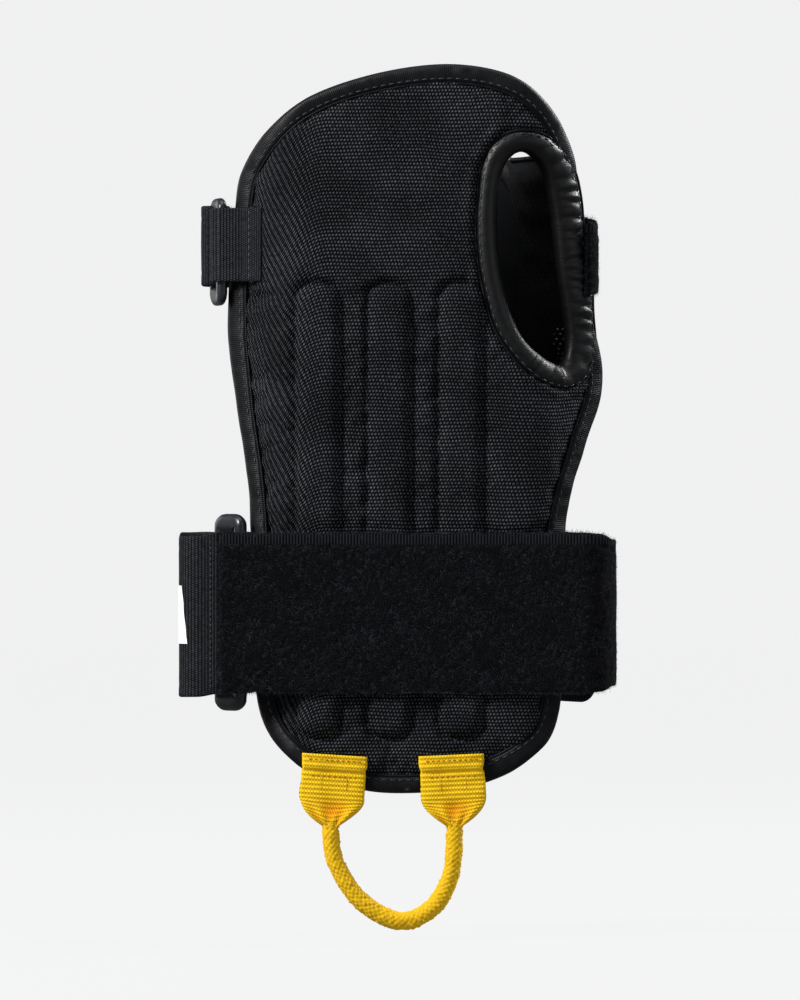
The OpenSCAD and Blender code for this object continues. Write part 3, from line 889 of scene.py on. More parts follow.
def back_sheets():
    x, z = sheet_grid(-42, 45, -89, 128)
    edge = depth(x, z, back.outline)
    add_sheet("back_outer_fabric", back, x, z, edge > 1.3, back_lift(x, z, edge), "knit_back",
              ("back_shell", "back_foam"))
    lift = -back.thick(x) - 0.35 * ease((edge - 5) / 10) + 0.22 * noise2(x, z, 21, 10, 40)
    lift += 0.5 * bump(edge - 14, 0.8) * ease((z - 80) / 6)
    add_sheet("back_inner_lining", back, x, z, edge > 1.3, lift, "brushed_lining",
              ("back_lining",))


palm_sheets()
BACK_GRID = np.arange(-42, 45.1, 2.0), np.arange(-89, 128.1, 2.0)
BACK_PUFF = puff_back(BACK_GRID)
back_sheets()


# ---------------------------------------------------------------- bindings
def fold_section(face, fold):
    """Stations (share of width, side 0 outer to 1 inner, height) round a folded edge."""
    return ([(share, 0, height) for share, height in face]
            + [(share, side, 0) for share, side in fold]
            + [(share, 1, height) for share, height in reversed(face)])


def sweep_edge(name, panel, outline, stations, width, section, wrinkle, material_name,
               replaces, inward=1):
    total = stations[-1] + (stations[1] - stations[0])
    points, coords = [], []
    for j, (share, side, height) in enumerate(section):
        x, z = offset(outline, inward * share * width).T
        if height > 0:
            height = height + wrinkle(stations, total, j)
        if side == 0:
            lift = height
        else:
            lift = -panel.thick(x) * side - (height if side == 1 else 0)
        points.append(panel.point(x, z, lift))
        coords.append(xyz(stations, (share if side < 0.5 else -share) * 6, 0))
    faces = grid_faces(len(outline), len(section), True, False, flip=inward > 0)
    build(name, (np.stack(points, 1), faces, np.stack(coords, 1)), MATERIALS[material_name],
          replaces=replaces)


def edge_line(panel, outline, distance, lift, reach=1.0, passes=10):
    x, z = offset(outline, distance, passes).T
    return panel.seam(x, z, lift, reach)


def tape_wrinkle(s, total, j):
    share = 1.0 if 2 < j < 10 or j > 16 else 0.2
    fine = 0.11 * noise1(s, total, 51, 60, 170, 14) * share
    return fine + 0.10 * noise1(s + j * 0.8, total, 52, 10, 40)


# Face: share of width, height. Fold: share of width, share of panel thickness.
TAPE_SECTION = fold_section(
    [(1.01, -0.7), (1.0, 0.12), (0.965, 0.5225), (0.90, 0.779), (0.80, 0.836), (0.70, 0.931),
     (0.55, 0.9975), (0.40, 0.9785), (0.26, 0.874), (0.14, 0.589), (0.05, 0.12)],
    [(0.0, 0.12), (-0.02, 0.3), (-0.03, 0.5), (-0.02, 0.7), (0.0, 0.88)])


def tape_width(panel, width, swing, seed):
    return width + swing * noise1(panel.stations, panel.stations[-1] + OUTLINE_STEP, seed, 2, 9)


palm_x, palm_z = palm.outline.T
palm_width = tape_width(palm, width=5.1, swing=0.25, seed=44)
palm_width = palm_width + 1.0 * bump(palm_z - 60, 22) * (palm_x < 0)
palm_width = palm_width + 1.1 * ease((8 - palm_z) / 18) * (palm_x > 20)
back_width = tape_width(back, width=5.6, swing=0.3, seed=45)
# label, panel, tape width, replaced node, stitch seed, piping radius
EDGES = (
    ("palm", palm, palm_width, "palm_edge_binding", 3, 0.42),
    ("back", back, back_width, "back_binding", 4, 0.45),
)
for label, panel, width, node, _, _ in EDGES:
    sweep_edge(label + "_edge_tape", panel, panel.outline, panel.stations, width, TAPE_SECTION,
               tape_wrinkle, "satin_binding", (node,))
for label, panel, width, _, seed, _ in EDGES:
    line = edge_line(panel, panel.outline, 0.80 * width, 0.86)
    stitches = stitch_line(*line, pitch=2.6, length=1.75, radius=0.20, seed=seed, closed=True)
    build(label + "_tape_stitches", stitches, THREAD)
for label, panel, width, _, _, radius in EDGES:
    line = edge_line(panel, panel.outline, width + 0.25, 0.25)
    tube(label + "_tape_piping", *line, radius, SATIN, "edge_binding")

# ---------------------------------------------------------------- panel seams
PANEL_STITCH = dict(pitch=2.3, length=1.35, radius=0.20)
GROOVE_TO_SEAM, CHANNEL_TO_SEAM = 2.3, 6.9
SEAM_LIFT, SEAM_REACH = 0.05, 0.95


def groove_stitches():
    parts = []
    for k, groove in enumerate(GROOVES):
        for aside in (-GROOVE_TO_SEAM, GROOVE_TO_SEAM):
            z = np.arange(groove[6], groove[7], 0.8)
            x = groove_x(groove, z) + aside
            edge = depth(x, z, back.outline)
            clear = edge > 8.0
            x, z, edge = x[clear], z[clear], edge[clear]
            line = back.seam(x, z, back_lift(x, z, edge) + SEAM_LIFT, SEAM_REACH)
            parts.append(stitch_line(*line, **PANEL_STITCH, seed=300 + k))
    build("back_groove_stitches", merge(parts), THREAD)


def channel_stitches():
    parts = []
    angle = np.linspace(-np.pi, 0, 24)
    for middle in CHANNELS:
        ends = [
            np.stack([middle + CHANNEL_TO_SEAM * np.cos(a), z + CHANNEL_TO_SEAM * np.sin(a)], 1)
            for a, z in ((angle, -63.5), (angle + np.pi, 65.5))]
        x, z = resample(np.vstack(ends), 0.8, True)[0].T
        line = palm.seam(x, z, palm_lift(x, z, *palm_depths(x, z)) + SEAM_LIFT, SEAM_REACH)
        parts.append(stitch_line(*line, **PANEL_STITCH, seed=int(middle + 40), closed=True))
    build("channel_stitches", merge(parts), THREAD)


groove_stitches()
channel_stitches()

# ---------------------------------------------------------------- thumb rim
RIM_SECTION = fold_section(
    [(1.02, -0.8), (1.0, 0.1), (0.955, 0.75), (0.885, 1.22), (0.79, 1.62), (0.68, 1.87),
     (0.56, 1.98), (0.44, 1.92), (0.32, 1.66), (0.21, 1.22), (0.11, 0.6)],
    [(0.04, 0.02), (0.0, 0.16), (-0.02, 0.32), (-0.02, 0.5), (-0.02, 0.68), (0.0, 0.84)])
RIM_WRINKLE_SHARE = (0.15, 0.35, 0.7, 0.95, 1, 1, 1, 1, 1, 0.9, 0.7)
hole_length = hole_stations[-1] + (hole_stations[1] - hole_stations[0])
thumb_side = ease((hole[:, 0] - 34) / 8)  # the rim is wider and creased towards +x


def rim_creases():
    """Creases round the rim: station, width, depth and slant."""
    draw = np.random.default_rng(64)
    creases = []
    s = 1.5
    while s < hole_length - 1:
        width, deep = draw.uniform(0.45, 0.95), draw.uniform(0.35, 1.0)
        creases.append((s, width, deep, draw.uniform(-0.32, 0.32)))
        s += draw.uniform(2.2, 5.2)
    return creases


RIM_CREASES = rim_creases()


def rim_wrinkle(s, total, j):
    row = j if j < 13 else 26 - j
    creased = 0
    for place, width, deep, slant in RIM_CREASES:
        away = s - place - slant * (row - 6)
        shoulders = 0.45 * bump(abs(away) - 1.3, 0.8)
        creased = creased + deep * (shoulders - 1.15 * bump(away, width))
    fine = (0.04 + 0.30 * thumb_side) * noise1(s + 0.35 * j, total, 61, 16, 46, 16) * 0.5
    share = RIM_WRINKLE_SHARE[min(max(row, 0), 10)]
    return (fine + thumb_side * 0.95 * creased - 0.15 * thumb_side) * share


rim_width = 6.3 + 0.25 * noise1(hole_stations, hole_length, 63, 3, 9) + 0.8 * thumb_side
sweep_edge("thumb_rim_leather", palm, hole, hole_stations, rim_width, RIM_SECTION, rim_wrinkle,
           "rim_leather", ("thumb_hole_binding",), inward=-1)
line = edge_line(palm, hole, -(rim_width + 0.3), 0.35, passes=14)
tube("thumb_rim_piping", *line, 0.42, SATIN, "thumb_rim")
line = edge_line(palm, hole, -(rim_width * 0.86), 1.42, reach=0.98, passes=14)
stitches = stitch_line(*line, pitch=2.9, length=1.9, radius=0.20, seed=9, closed=True)
build("thumb_rim_stitches", stitches, THREAD)

# ---------------------------------------------------------------- stretch gussets
# Edges as z, x, on the palm panel and on the back panel, at each side.
PALM_LEFT = ((-70, -42.5), (-60, -46), (-28, -49), (8, -50.4), (36, -54.5), (60, -57),
             (92, -55), (104, -53))
PALM_RIGHT = ((-70, 42), (-64, 45.5), (-35, 48.2), (0, 49.3), (20, 54.5), (41, 60), (64, 57),
              (92, 53.8), (104, 52))
BACK_LEFT = ((-72, -32), (-50, -37.2), (-10, -34.4), (25, -34), (60, -36.6), (85, -41),
             (104, -35.5))
BACK_RIGHT = ((-72, 36), (-50, 40.6), (-8, 37.2), (30, 37.2), (60, 41.4), (86, 43.6), (104, 39))
GUSSET_LOW, GUSSET_HIGH, GUSSET_STRETCH_FROM = -68, 113.0, 60


# Patches on the thumb-side mesh where light through its pinholes is painted as pale dots.
def pinhole_light_patches(z, v):
    upper = band(z, 46.5, 59.0, 0.8) * band(v, 0.12, 0.42, 0.03)
    return upper + 0.35 * band(z, 4, 25, 0.8) * band(v, 0.30, 0.62, 0.03)


def gusset(name, side, palm_edge, back_edge, palm_gap, top, node, seed):
    """v runs from the palm panel to the back panel. top: height, extra, power."""
    rows, columns = ((178, 40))
    z, v = lattice(np.linspace(GUSSET_LOW, GUSSET_HIGH, rows), np.linspace(-0.05, 1.05, columns))
    inner = np.clip(v, 0, 1)
    top_z = top[0] + top[1] * (1 - inner) ** top[2]
    start = GUSSET_STRETCH_FROM
    z = np.where(z > start, start + (z - start) * (top_z - start) / (GUSSET_HIGH - start), z)
    palm_x = np.interp(z, *zip(*palm_edge)) - side * 3.2
    back_x = np.interp(z, *zip(*back_edge)) - side * 6.8
    start_y = palm_y(palm_x) + PANEL_THICK + palm_gap
    end_y = back_y(back_x) - PANEL_THICK - 0.6
    middle = inner * (1 - inner) * 4
    wrinkle = 0.85 * noise2(z, v * 6, seed, 7, 22) * middle**0.7
    wrinkle = wrinkle + 0.3 * noise2(z, v * 18, seed + 1, 3, 8) * middle
    x = palm_x + (back_x - palm_x) * v + side * 6 * v * (1 - v) * (1 - v)
    x = x - side * (0.9 - np.clip(wrinkle, -1.2, 0.8))
    y = start_y + (end_y - start_y) * v
    # the third coordinate carries the painted pinhole light, on the thumb side only
    coords = xyz(v * np.hypot(back_x - palm_x, end_y - start_y), z,
                 pinhole_light_patches(z, v) if side > 0 else 0)
    build(name, (xyz(x, y, z), grid_faces(*z.shape), coords), MATERIALS["stretch_mesh"],
          replaces=(node,))
    hem = xyz(x[-1], y[-1], z[-1])[3:-3]
    tube(name + "_hem", hem, np.tile([float(side), 0.2, 0.3], (len(hem), 1)), 0.85, SATIN,
         "edge_binding", closed=False, sides=10)


gusset("gusset_mesh_outer", -1, PALM_LEFT, BACK_LEFT, 0.4, (102.5, 2.5, 1),
       "gusset_outer_side", 71)
gusset("gusset_mesh_thumb", 1, PALM_RIGHT, BACK_RIGHT, 1.6, (111.2, 2.2, 1.6),
       "gusset_thumb_side", 75)


# ---------------------------------------------------------------- straps
class Strap:
    """A strap swept along a path in x and y, with its width along z.

    side turns its outer face, sway(s, x, y) shifts it in z, and narrow(s) trims each edge.
    """

    def __init__(self, path, side, inner, outer, low, high, step, sway=None, narrow=None):
        self.points, self.stations = resample(path, step)
        self.normals = left(tangents(self.points)) * side
        self.length = self.stations[-1]
        self.inner, self.outer = inner, outer
        self.low, self.high = low, high
        self.middle, self.half = (low + high) / 2, (high - low) / 2
        self.sway = sway or (lambda s, x, y: 0 * s)
        self.narrow = narrow or (lambda s: 0 * s)

    def at(self, s):
        """Place and normal at a station: x, y, normal x, normal y."""
        columns = (*self.points.T, *self.normals.T)
        return [np.interp(s, self.stations, column) for column in columns]

    def station(self, x):
        """Station of an x on the run across the back."""
        run = self.points[:, 1] > 24
        return np.interp(x, self.points[run, 0], self.stations[run])

    def surface(self, s, z, lift):
        """Points and normals over the ribbed outer face."""
        x, y, normal_x, normal_y = self.at(s)
        out = self.outer + ribs(s, z - self.middle, self.half - 0.5) + lift
        points = xyz(x + normal_x * out, y + normal_y * out, z + self.sway(s, x, y))
        return points, xyz(normal_x, normal_y, 0)

    def mesh(self, across, edge, face=None, back=None, corners=(0, 0), waver=0):
        """edge is the edge rounding, corners the end radii, waver an extra z shift."""
        s, count = self.stations, len(self.stations)
        inset = 0 * s
        for distance, radius in zip((s, self.length - s), corners):
            if radius:
                run = radius - np.clip(distance, 0, radius)
                chord = np.sqrt(np.maximum(radius * radius - run**2, 0))
                inset = np.maximum(inset, radius - chord)
        half = (self.half - inset - self.narrow(s) - edge)[:, None]
        u = np.linspace(-1, 1, across)
        u = np.sign(u) * (1 - (1 - abs(u)) ** 1.25)  # closer spacing at the edges
        along, width = s[:, None] + 0 * u, half * u
        outer = self.outer + (face(along, width, half) if face else 0 * width)
        inner = self.inner - (back(along, width, half) if back else 0 * width)
        thick = self.outer - self.inner
        round_z = np.array([0.72, 1.0, 0.72]) * edge
        rounding = np.tile([self.outer - 0.22 * thick, self.inner + 0.5 * thick,
                            self.inner + 0.22 * thick], (count, 1))
        z = np.concatenate([width, half + round_z, width[:, ::-1], -half - round_z], 1)
        out = np.concatenate([outer, rounding, inner[:, ::-1], rounding[:, ::-1]], 1)
        side = np.repeat([1, 0, -1, 0], [across, 3, across, 3])
        (x, y), (normal_x, normal_y) = self.points.T, self.normals.T
        shift = (self.middle + self.sway(s, x, y) + waver)[:, None]
        points = xyz(x[:, None] + normal_x[:, None] * out, y[:, None] + normal_y[:, None] * out,
                     z + shift)
        ring = 2 * across + 6
        last = 2 * across + 2  # index in the ring of the inner face's end
        j = np.arange(across - 1)
        cap = np.stack([j, j + 1, last - j - 1, last - j], -1)
        corner = np.array([[across - 1, across, across + 2, across + 3],
                           [0, last + 3, last + 1, last]])
        end = (count - 1) * ring
        faces = np.vstack([grid_faces(count, ring, False, True), cap, corner,
                           end + cap[:, ::-1], end + corner])
        return points.reshape(-1, 3), faces, xyz(s[:, None], z + 60, side).reshape(-1, 3)


def ribs(s, u, half):
    """Height of ribbed webbing, with a plain selvedge at each edge."""
    rib = 0.5 - 0.5 * np.cos(2 * np.pi * s / RIB)
    selvedge = ease((abs(u) - (half - 3.4)) / 0.6)
    height = -0.20 * (1 - rib) * (1 - 0.1 * selvedge)
    height = height - 0.10 * bump(abs(u) - (half - 3.6), 0.35)
    return height - 0.10 * (0.5 - 0.5 * noise2(s * 0.5, u, 91, 10, 40))


def tufts(s, u, half):
    """Height of the pile, with a woven selvedge on the +z edge and a frayed start."""
    uneven = 0.16 * noise2(s, u, 101, 1.6, 4, 18) + 0.13 * noise2(s, u, 102, 5, 18, 12)
    groove = bump(half - 3.2 - u, 0.5)
    flat = ease((u - (half - 3.0)) / 0.6)
    height = np.minimum(-0.16 + uneven * (1 - 0.85 * flat), 0.12)
    height = height - 0.30 * groove - 0.12 * flat + 0.10 * flat * np.cos(2 * np.pi * s / RIB)
    return height - 1.15 * bump(s, 1.1)


WEB_STEP = 0.245
PILE_STEP = 0.45
WEB_THICK, PILE_THICK = 1.3, 2.4
WRIST_LOW, WRIST_HIGH = -55.5, -5.5
HAND_LOW, HAND_HIGH = 71.5, 96.5
FRONT_Y = -27.15  # straps across the palm
BACK_RUN_Y = 24.15  # pile runs across the back
TAIL_Y = 27.7  # inner face of the wrist tail across the back


def pile_strap(name, strap, across, corners, node):
    points, faces, coords = strap.mesh(across, 0.7, tufts, corners=corners)
    # z marks the woven selvedge on the outer face
    zone_share = ease((coords[:, 1] - (60 + strap.half - 4.0)) / 0.5)
    coords[:, 2] = np.where(coords[:, 2] > 0.5, zone_share, 0)
    build(name, (points, faces, coords), MATERIALS["brushed_pile"], replaces=(node,),
          recalc=True)


def fibres(name, strap, trim, count, shortest, longest, edge_share, seed):
    """Loose fibres over the pile, a share of them along the two edges."""
    draw = np.random.default_rng(seed)
    low, high = strap.low + trim, strap.high - trim
    s = draw.uniform(0.3, strap.length - 0.3, count)
    z = draw.uniform(low + 0.4, high - 3.6, count)
    edges = int(count * edge_share)
    lower = draw.integers(0, 2, edges) == 0
    from_low = draw.uniform(-0.1, 0.8, edges)
    z[:edges] = np.where(lower, low + from_low, high - draw.uniform(-0.1, 0.9, edges))
    half = (high - low) / 2
    z = strap.middle + (z - strap.middle) * (half - strap.narrow(s)) / half
    x, y, normal_x, normal_y = strap.at(s)
    z = z + strap.sway(s, x, y)
    angle = draw.uniform(0, 2 * np.pi, count)
    length = draw.uniform(shortest, longest, count)[:, None]
    rise = draw.uniform(0.10, 0.62, count)
    splay = np.zeros(count)
    splay[:edges] = np.where(lower, -1, 1) * draw.uniform(0.2, 0.9, edges)
    out = np.full(count, strap.outer - 0.28)
    out[:edges] -= draw.uniform(0, 1.4, edges)
    root = xyz(x + normal_x * out, y + normal_y * out, z)
    along = unit(xyz(-normal_y * np.cos(angle) + normal_x * rise,
                     normal_x * np.cos(angle) + normal_y * rise, np.sin(angle) + splay))
    normals = xyz(normal_x, normal_y, 0)
    curl = normals * draw.uniform(-0.55, 0.05, count)[:, None]
    curl = curl + draw.normal(0, 0.25, (count, 3))
    width = np.cross(along, normals)
    width /= np.maximum(np.linalg.norm(width, axis=1, keepdims=True), 1e-6)
    width = width * draw.uniform(0.020, 0.045, count)[:, None]
    middle = root + along * (length * 0.5)
    tip = middle + (along + curl) * (length * 0.5)
    points = np.stack([root - width, root + width, middle - width * 0.9, middle + width * 0.9,
                       tip - width * 0.35, tip + width * 0.35], 1)
    faces = np.array([[0, 1, 3, 2], [2, 3, 5, 4]])[None] + (np.arange(count) * 6)[:, None, None]
    shade = np.repeat(draw.uniform(0, 1, count) ** 1.9, 6)
    build(name, (points, faces.reshape(-1, 4), xyz(shade, shade, shade)),
          MATERIALS["pile_fibre"])


def row_stitches(name, strap, rows, style, body, seed, by_station=False):
    """Stitches along rows given by their ends, as (x or station, z)."""
    parts = []
    for k, row in enumerate(rows):
        place, z = resample(row, 0.8)[0].T
        s = place if by_station else strap.station(place)
        parts.append(stitch_line(*strap.surface(s, z, 0.02), **style, seed=seed + k))
    build(name, merge(parts), THREAD, body)


def hook_patch(name, low, high, path, node, body, seed, sway=None):
    """Hook tape on the inner face of a tail, with its hooks."""
    strap = Strap(path, 1, -1.0, -0.08, low, high, 0.8, sway)
    build(name, strap.mesh(16, 0.3, corners=(2.5, 2.5)), MATERIALS["hook_tape"],
          body, (node,), recalc=True)
    pitch = 1.35
    s, z = lattice(np.arange(1.6, strap.length - 1.2, pitch),
                   np.arange(low + 1.6, high - 1.2, pitch))
    draw = np.random.default_rng(seed)
    s = s.ravel() + draw.normal(0, 0.08, s.size)
    z = z.ravel() + draw.normal(0, 0.08, z.size)
    x, y, normal_x, normal_y = strap.at(s)
    centres = xyz(x - normal_x * 1.02, y - normal_y * 1.02, z + strap.sway(s, x, y))
    turned = np.where(draw.integers(0, 2, len(s)) > 0, 1, -1)
    along = xyz(-normal_y * turned, normal_x, 0.4 * draw.standard_normal(len(s)))
    hooks = capsules(centres, along, -xyz(normal_x, normal_y, 0), 0.75, 0.17, seed, sides=5)
    build(name + "_hooks", hooks, MATERIALS["hook_tape"], body)


# Wide strap: pile round the palm and the thumb side
def wrist_pile_narrow(s):
    return 0.25 + 0.22 * noise2(s, 0, 96, 5, 40) + 2.3 * band(s, 121.5, 166.0, 10.0)


wrist_pile = Strap(
    route([[-60, FRONT_Y], [62, FRONT_Y, 9], [62, BACK_RUN_Y, 14], [10, BACK_RUN_Y]]),
    -1, 0, PILE_THICK, WRIST_LOW, WRIST_HIGH, PILE_STEP, narrow=wrist_pile_narrow)
pile_strap("wrist_pile_strap", wrist_pile, 74, (0, 3.0), "wrist_strap_pile")
fibres("wrist_pile_fibres", wrist_pile, trim=0.2, count=46000, shortest=0.55, longest=1.6,
       edge_share=0.22, seed=5)


# Wide strap: ribbed webbing from the palm round the -x edge and over the back to the tail
def wrist_sway(s, x, y):
    tail = np.where(y > 20, -0.050 * np.clip(x + 20, 0, None), 0.0)
    fold = -1.1 * (1 - ease((y + 24) / 22)) * ease((-x - 58) / 8)
    return tail + np.where(x < -50, fold, 0.0)


wrist_web = Strap(
    np.vstack([
        route([[-59.6, FRONT_Y], [-70.5, FRONT_Y, 6], [-70.5, -2, 14], [-57, TAIL_Y, 12],
               [-48, TAIL_Y]]),
        route([[-47.7, TAIL_Y], [52.70, TAIL_Y, 17.55], [58.07, 24.6]])]),
    1, 0, WEB_THICK, WRIST_LOW, WRIST_HIGH, WEB_STEP, wrist_sway)
web_mesh = wrist_web.mesh(30, 0.45, ribs, ribs, (0, 5.0),
                          waver=0.12 * noise2(wrist_web.stations, 0, 95, 12, 60))
thing = build("wrist_webbing", web_mesh, WEB, None,
              ("wrist_strap_fold", "wrist_strap_tail"), recalc=True)
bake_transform(thing)

# Slanted white bars printed on the tail, and one on the fold at the -x side
PRINT_LIFT, BAR_HEIGHT, BAR_COUNT, BAR_PITCH = 0.07, 18, 7, 12


def printed_bar(s, z, first_coord):
    points = wrist_web.surface(s, z, PRINT_LIFT)[0]
    return points, grid_faces(*z.shape), xyz(first_coord, z, 0)


bars = []
a, b = lattice(np.linspace(0, 1, 26), np.linspace(0, 1, 30))
for i in range(BAR_COUNT):
    bar_x = -33 + BAR_PITCH * i - 4.5 + 3.5 * b + 5.5 * a
    bars.append(printed_bar(wrist_web.station(bar_x), -39.5 + BAR_HEIGHT * b, bar_x))
build("tail_printed_bars", merge(bars), MATERIALS["white_print"], "wrist_tail",
      ("wrist_tail_print",))
a, b = lattice(np.linspace(0, 1, 24), np.linspace(0, 1, 24))
fold_station = wrist_web.stations[np.argmin(wrist_web.points[:, 0])]
bar_s = fold_station - 5.5 + 5.0 * a + 2.2 * b
build("fold_printed_bar", printed_bar(bar_s, -39 + BAR_HEIGHT * b, bar_s),
      MATERIALS["white_print"])

row_stitches(
    "tail_box_stitches", wrist_web,
    [[[9, -51], [55.5, -51]], [[9, -10], [55.5, -10]], [[9, -51], [9, -10]],
     [[55.0, -50], [55.0, -11]]],
    dict(pitch=2.3, length=1.6, radius=0.20), "wrist_tail", 120)
web_x, web_y = wrist_web.points.T
join = wrist_web.stations[np.argmin(abs(web_x + 61.2) + 100 * (web_y > -20))] + 0.4
row_stitches("fold_join_stitches", wrist_web, [[[join, -54.5], [join, -6.5]]],
             dict(pitch=1.7, length=1.0, radius=0.18), BODY, 130, by_station=True)
hook_patch(
    "wrist_hook_tape", WRIST_LOW + 2, WRIST_HIGH - 2,
    route([[10, TAIL_Y], [52.70, TAIL_Y, 17.55], [52.70 + 0.866 * 4.8, TAIL_Y - 2.4]]),
    "wrist_hook_patch", "wrist_tail", 141, wrist_sway)


# Narrow strap: pile
def hand_sway(s, x, y):
    return -4.5 * (1 - ease((s - 1) / 58.0))


def hand_pile_narrow(s):
    return 0.2 + 0.15 * noise2(s, 0, 97, 5, 30) + 2.4 * bump(s - 9.5, 9.0)


hand_pile = Strap(
    route([[54.4, -12.4], [56.4, -9.4, 3], [57.0, 8, 15], [47, BACK_RUN_Y, 10],
           [-44, BACK_RUN_Y, 10], [-55.4, 9, 6], [-57, 5.6]]),
    -1, 0, PILE_THICK, HAND_LOW, HAND_HIGH, PILE_STEP, hand_sway, hand_pile_narrow)
pile_strap("hand_pile_strap", hand_pile, 40, (0, 0), "hand_strap_pile")
fibres("hand_pile_fibres", hand_pile, trim=0, count=16000, shortest=0.6, longest=1.7,
       edge_share=0.3, seed=6)

# Narrow strap: webbing through the ring and over the back
hand_web = Strap(
    route([[-56.1, 5.6], [-56.1, -3.9, 3], [-65.3, -4.8, 3.4], [-65.3, 12, 10],
           [-54, 29.0, 10], [43.5, 29.0, 8], [48.0, 28.5]]),
    1, -WEB_THICK, 0, HAND_LOW, HAND_HIGH, WEB_STEP)
thing = build("hand_webbing", hand_web.mesh(22, 0.45, ribs, ribs, (0, 3.5)), WEB,
              None, ("hand_strap_fold", "hand_strap_tail"), recalc=True)
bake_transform(thing)
row_stitches(
    "hand_tail_stitches", hand_web,
    [[[-34, 74.2], [44, 74.2]], [[-34, 93.8], [44, 93.8]], [[-34, 74.5], [-34, 93.5]],
     [[43.6, 74.5], [43.6, 93.5]]],
    dict(pitch=3.6, length=2.7, radius=0.30), "hand_tail", 150)
ridge_z = np.linspace(HAND_LOW + 0.5, HAND_HIGH - 0.5, 40)
line = hand_web.surface(hand_web.station(np.full(40, -35.6)), ridge_z, 0.15)
tube("hand_tail_fold_ridge", *line, 0.85 + 0.08 * np.sin(ridge_z * 2.1), WEB, "webbing",
     closed=False, sides=12, body="hand_tail")
hook_patch("hand_hook_tape", HAND_LOW + 1.5, HAND_HIGH - 1.5, [[-38, TAIL_Y], [42, TAIL_Y]],
           "hand_hook_patch", "hand_tail", 143)

# ---------------------------------------------------------------- rings and their keepers
WRIST_RING, HAND_RING = (-52.7, -17.2), (-58.6, -10.6)
RING_RADIUS, RING_CORNER = 2.0, 2.6


def ring(name, place, angle, low, opening, width, bar, node, body):
    """A rounded rectangular ring. bar is half the bar's thickness across its plane."""
    height = opening + 2 * RING_RADIUS
    r = RING_CORNER
    corners = ((width - r, height - r, 0), (r, height - r, 90), (r, r, 180), (width - r, r, 270))
    loop = [
        (cx + r * math.cos(math.radians(t)), cz + r * math.sin(math.radians(t)))
        for cx, cz, first in corners
        for t in np.linspace(first, first + 90, 9)]
    u, v = resample(loop, 0.7, True)[0].T
    cos, sin = math.cos(math.radians(angle)), math.sin(math.radians(angle))
    centres = xyz(place[0] + cos * u, place[1] + sin * u, low - RING_RADIUS + v)
    normal = np.array([-sin, cos, 0.0])
    across = np.cross(tangents(centres, True), np.tile(normal, (len(centres), 1)))
    t = np.linspace(0, 2 * np.pi, 24, endpoint=False)
    thick = np.sign(np.cos(t)) * abs(np.cos(t)) ** 0.86 * bar
    wide = np.sign(np.sin(t)) * abs(np.sin(t)) ** 0.86 * 1.95
    # the two end bars are wider and drawn in
    from_middle = centres[:, 2] - (low - RING_RADIUS + height / 2)
    end = ease((abs(from_middle) - (height / 2 - 2.2)) / 1.6)
    centres[:, 2] -= np.sign(from_middle) * 1.05 * end
    points = centres[:, None] + thick[None, :, None] * normal
    points = points + (wide * (1 + 0.56 * end)[:, None])[..., None] * across[:, None]
    faces = grid_faces(len(centres), 24, True, True)
    build(name, (points, faces, np.zeros((len(centres) * 24, 3))), MATERIALS["moulded_ring"],
          body, (node,), recalc=True)


ring("wrist_ring_moulding", WRIST_RING, angle=128, low=-57.2, opening=53.4, width=10.0,
     bar=1.95, node="wrist_ring", body="wrist_ring_body")
ring("hand_ring_moulding", HAND_RING, angle=101, low=69.2, opening=25.6, width=11.6,
     bar=1.72, node="hand_ring", body="hand_ring_body")

KEEPER_ANGLE = math.radians(-42.3)


def keeper(name, place, length, low, high, node):
    """Webbing looped round a ring bar, both ends brought together."""
    r = 2.3
    u, v = route([[length, r], [-r, r, r - 0.05], [-r, -r, r - 0.05], [1.2, -r, 1.5],
                  [7.5, r - 0.06, 3], [length - 0.6, r - 0.06]]).T
    cos, sin = math.cos(KEEPER_ANGLE), math.sin(KEEPER_ANGLE)
    path = np.stack([place[0] + u * cos - v * sin, place[1] + u * sin + v * cos], 1)
    strap = Strap(path, -1, 0.0, WEB_THICK, low, high, WEB_STEP)
    build(name, strap.mesh(22, 0.4, ribs), WEB, replaces=(node,), recalc=True)


keeper("wrist_keeper_webbing", (-52.2, -17.4), 10.5, WRIST_LOW + 1, WRIST_HIGH - 1,
       "wrist_ring_keeper")
keeper("hand_keeper_webbing", HAND_RING, 16, HAND_LOW + 1, HAND_HIGH - 1, "hand_ring_keeper")

# Raised ridge with two stitch rows at the sewn-down end of the hand ring keeper
ridge_z = np.linspace(HAND_LOW + 0.6, HAND_HIGH - 0.6, 40)
ridge, ridge_normals = palm.seam(np.full(40, -47.9), ridge_z, 1.15)
tube("hand_keeper_ridge", ridge, ridge_normals, 1.25 + 0.08 * np.sin(ridge_z * 2.4), WEB,
     "webbing", closed=False, sides=14)
rows = [
    stitch_line(ridge + ridge_normals * 1.12 + np.array([aside, 0.0, 0.0]), ridge_normals,
                pitch=2.2, length=1.5, radius=0.2, seed=seed)
    for aside, seed in ((-0.55, 158), (0.75, 163))]
build("hand_keeper_stitches", merge(rows), MATERIALS["thread_grey"])

# ---------------------------------------------------------------- pull loop
CORD_Y = -26.45
TAB_TOP, TAB_BOTTOM = -74.6, -97.2
TAB_PIVOT = -96  # z about which each tab tilts
TAB_RIB = 1.42


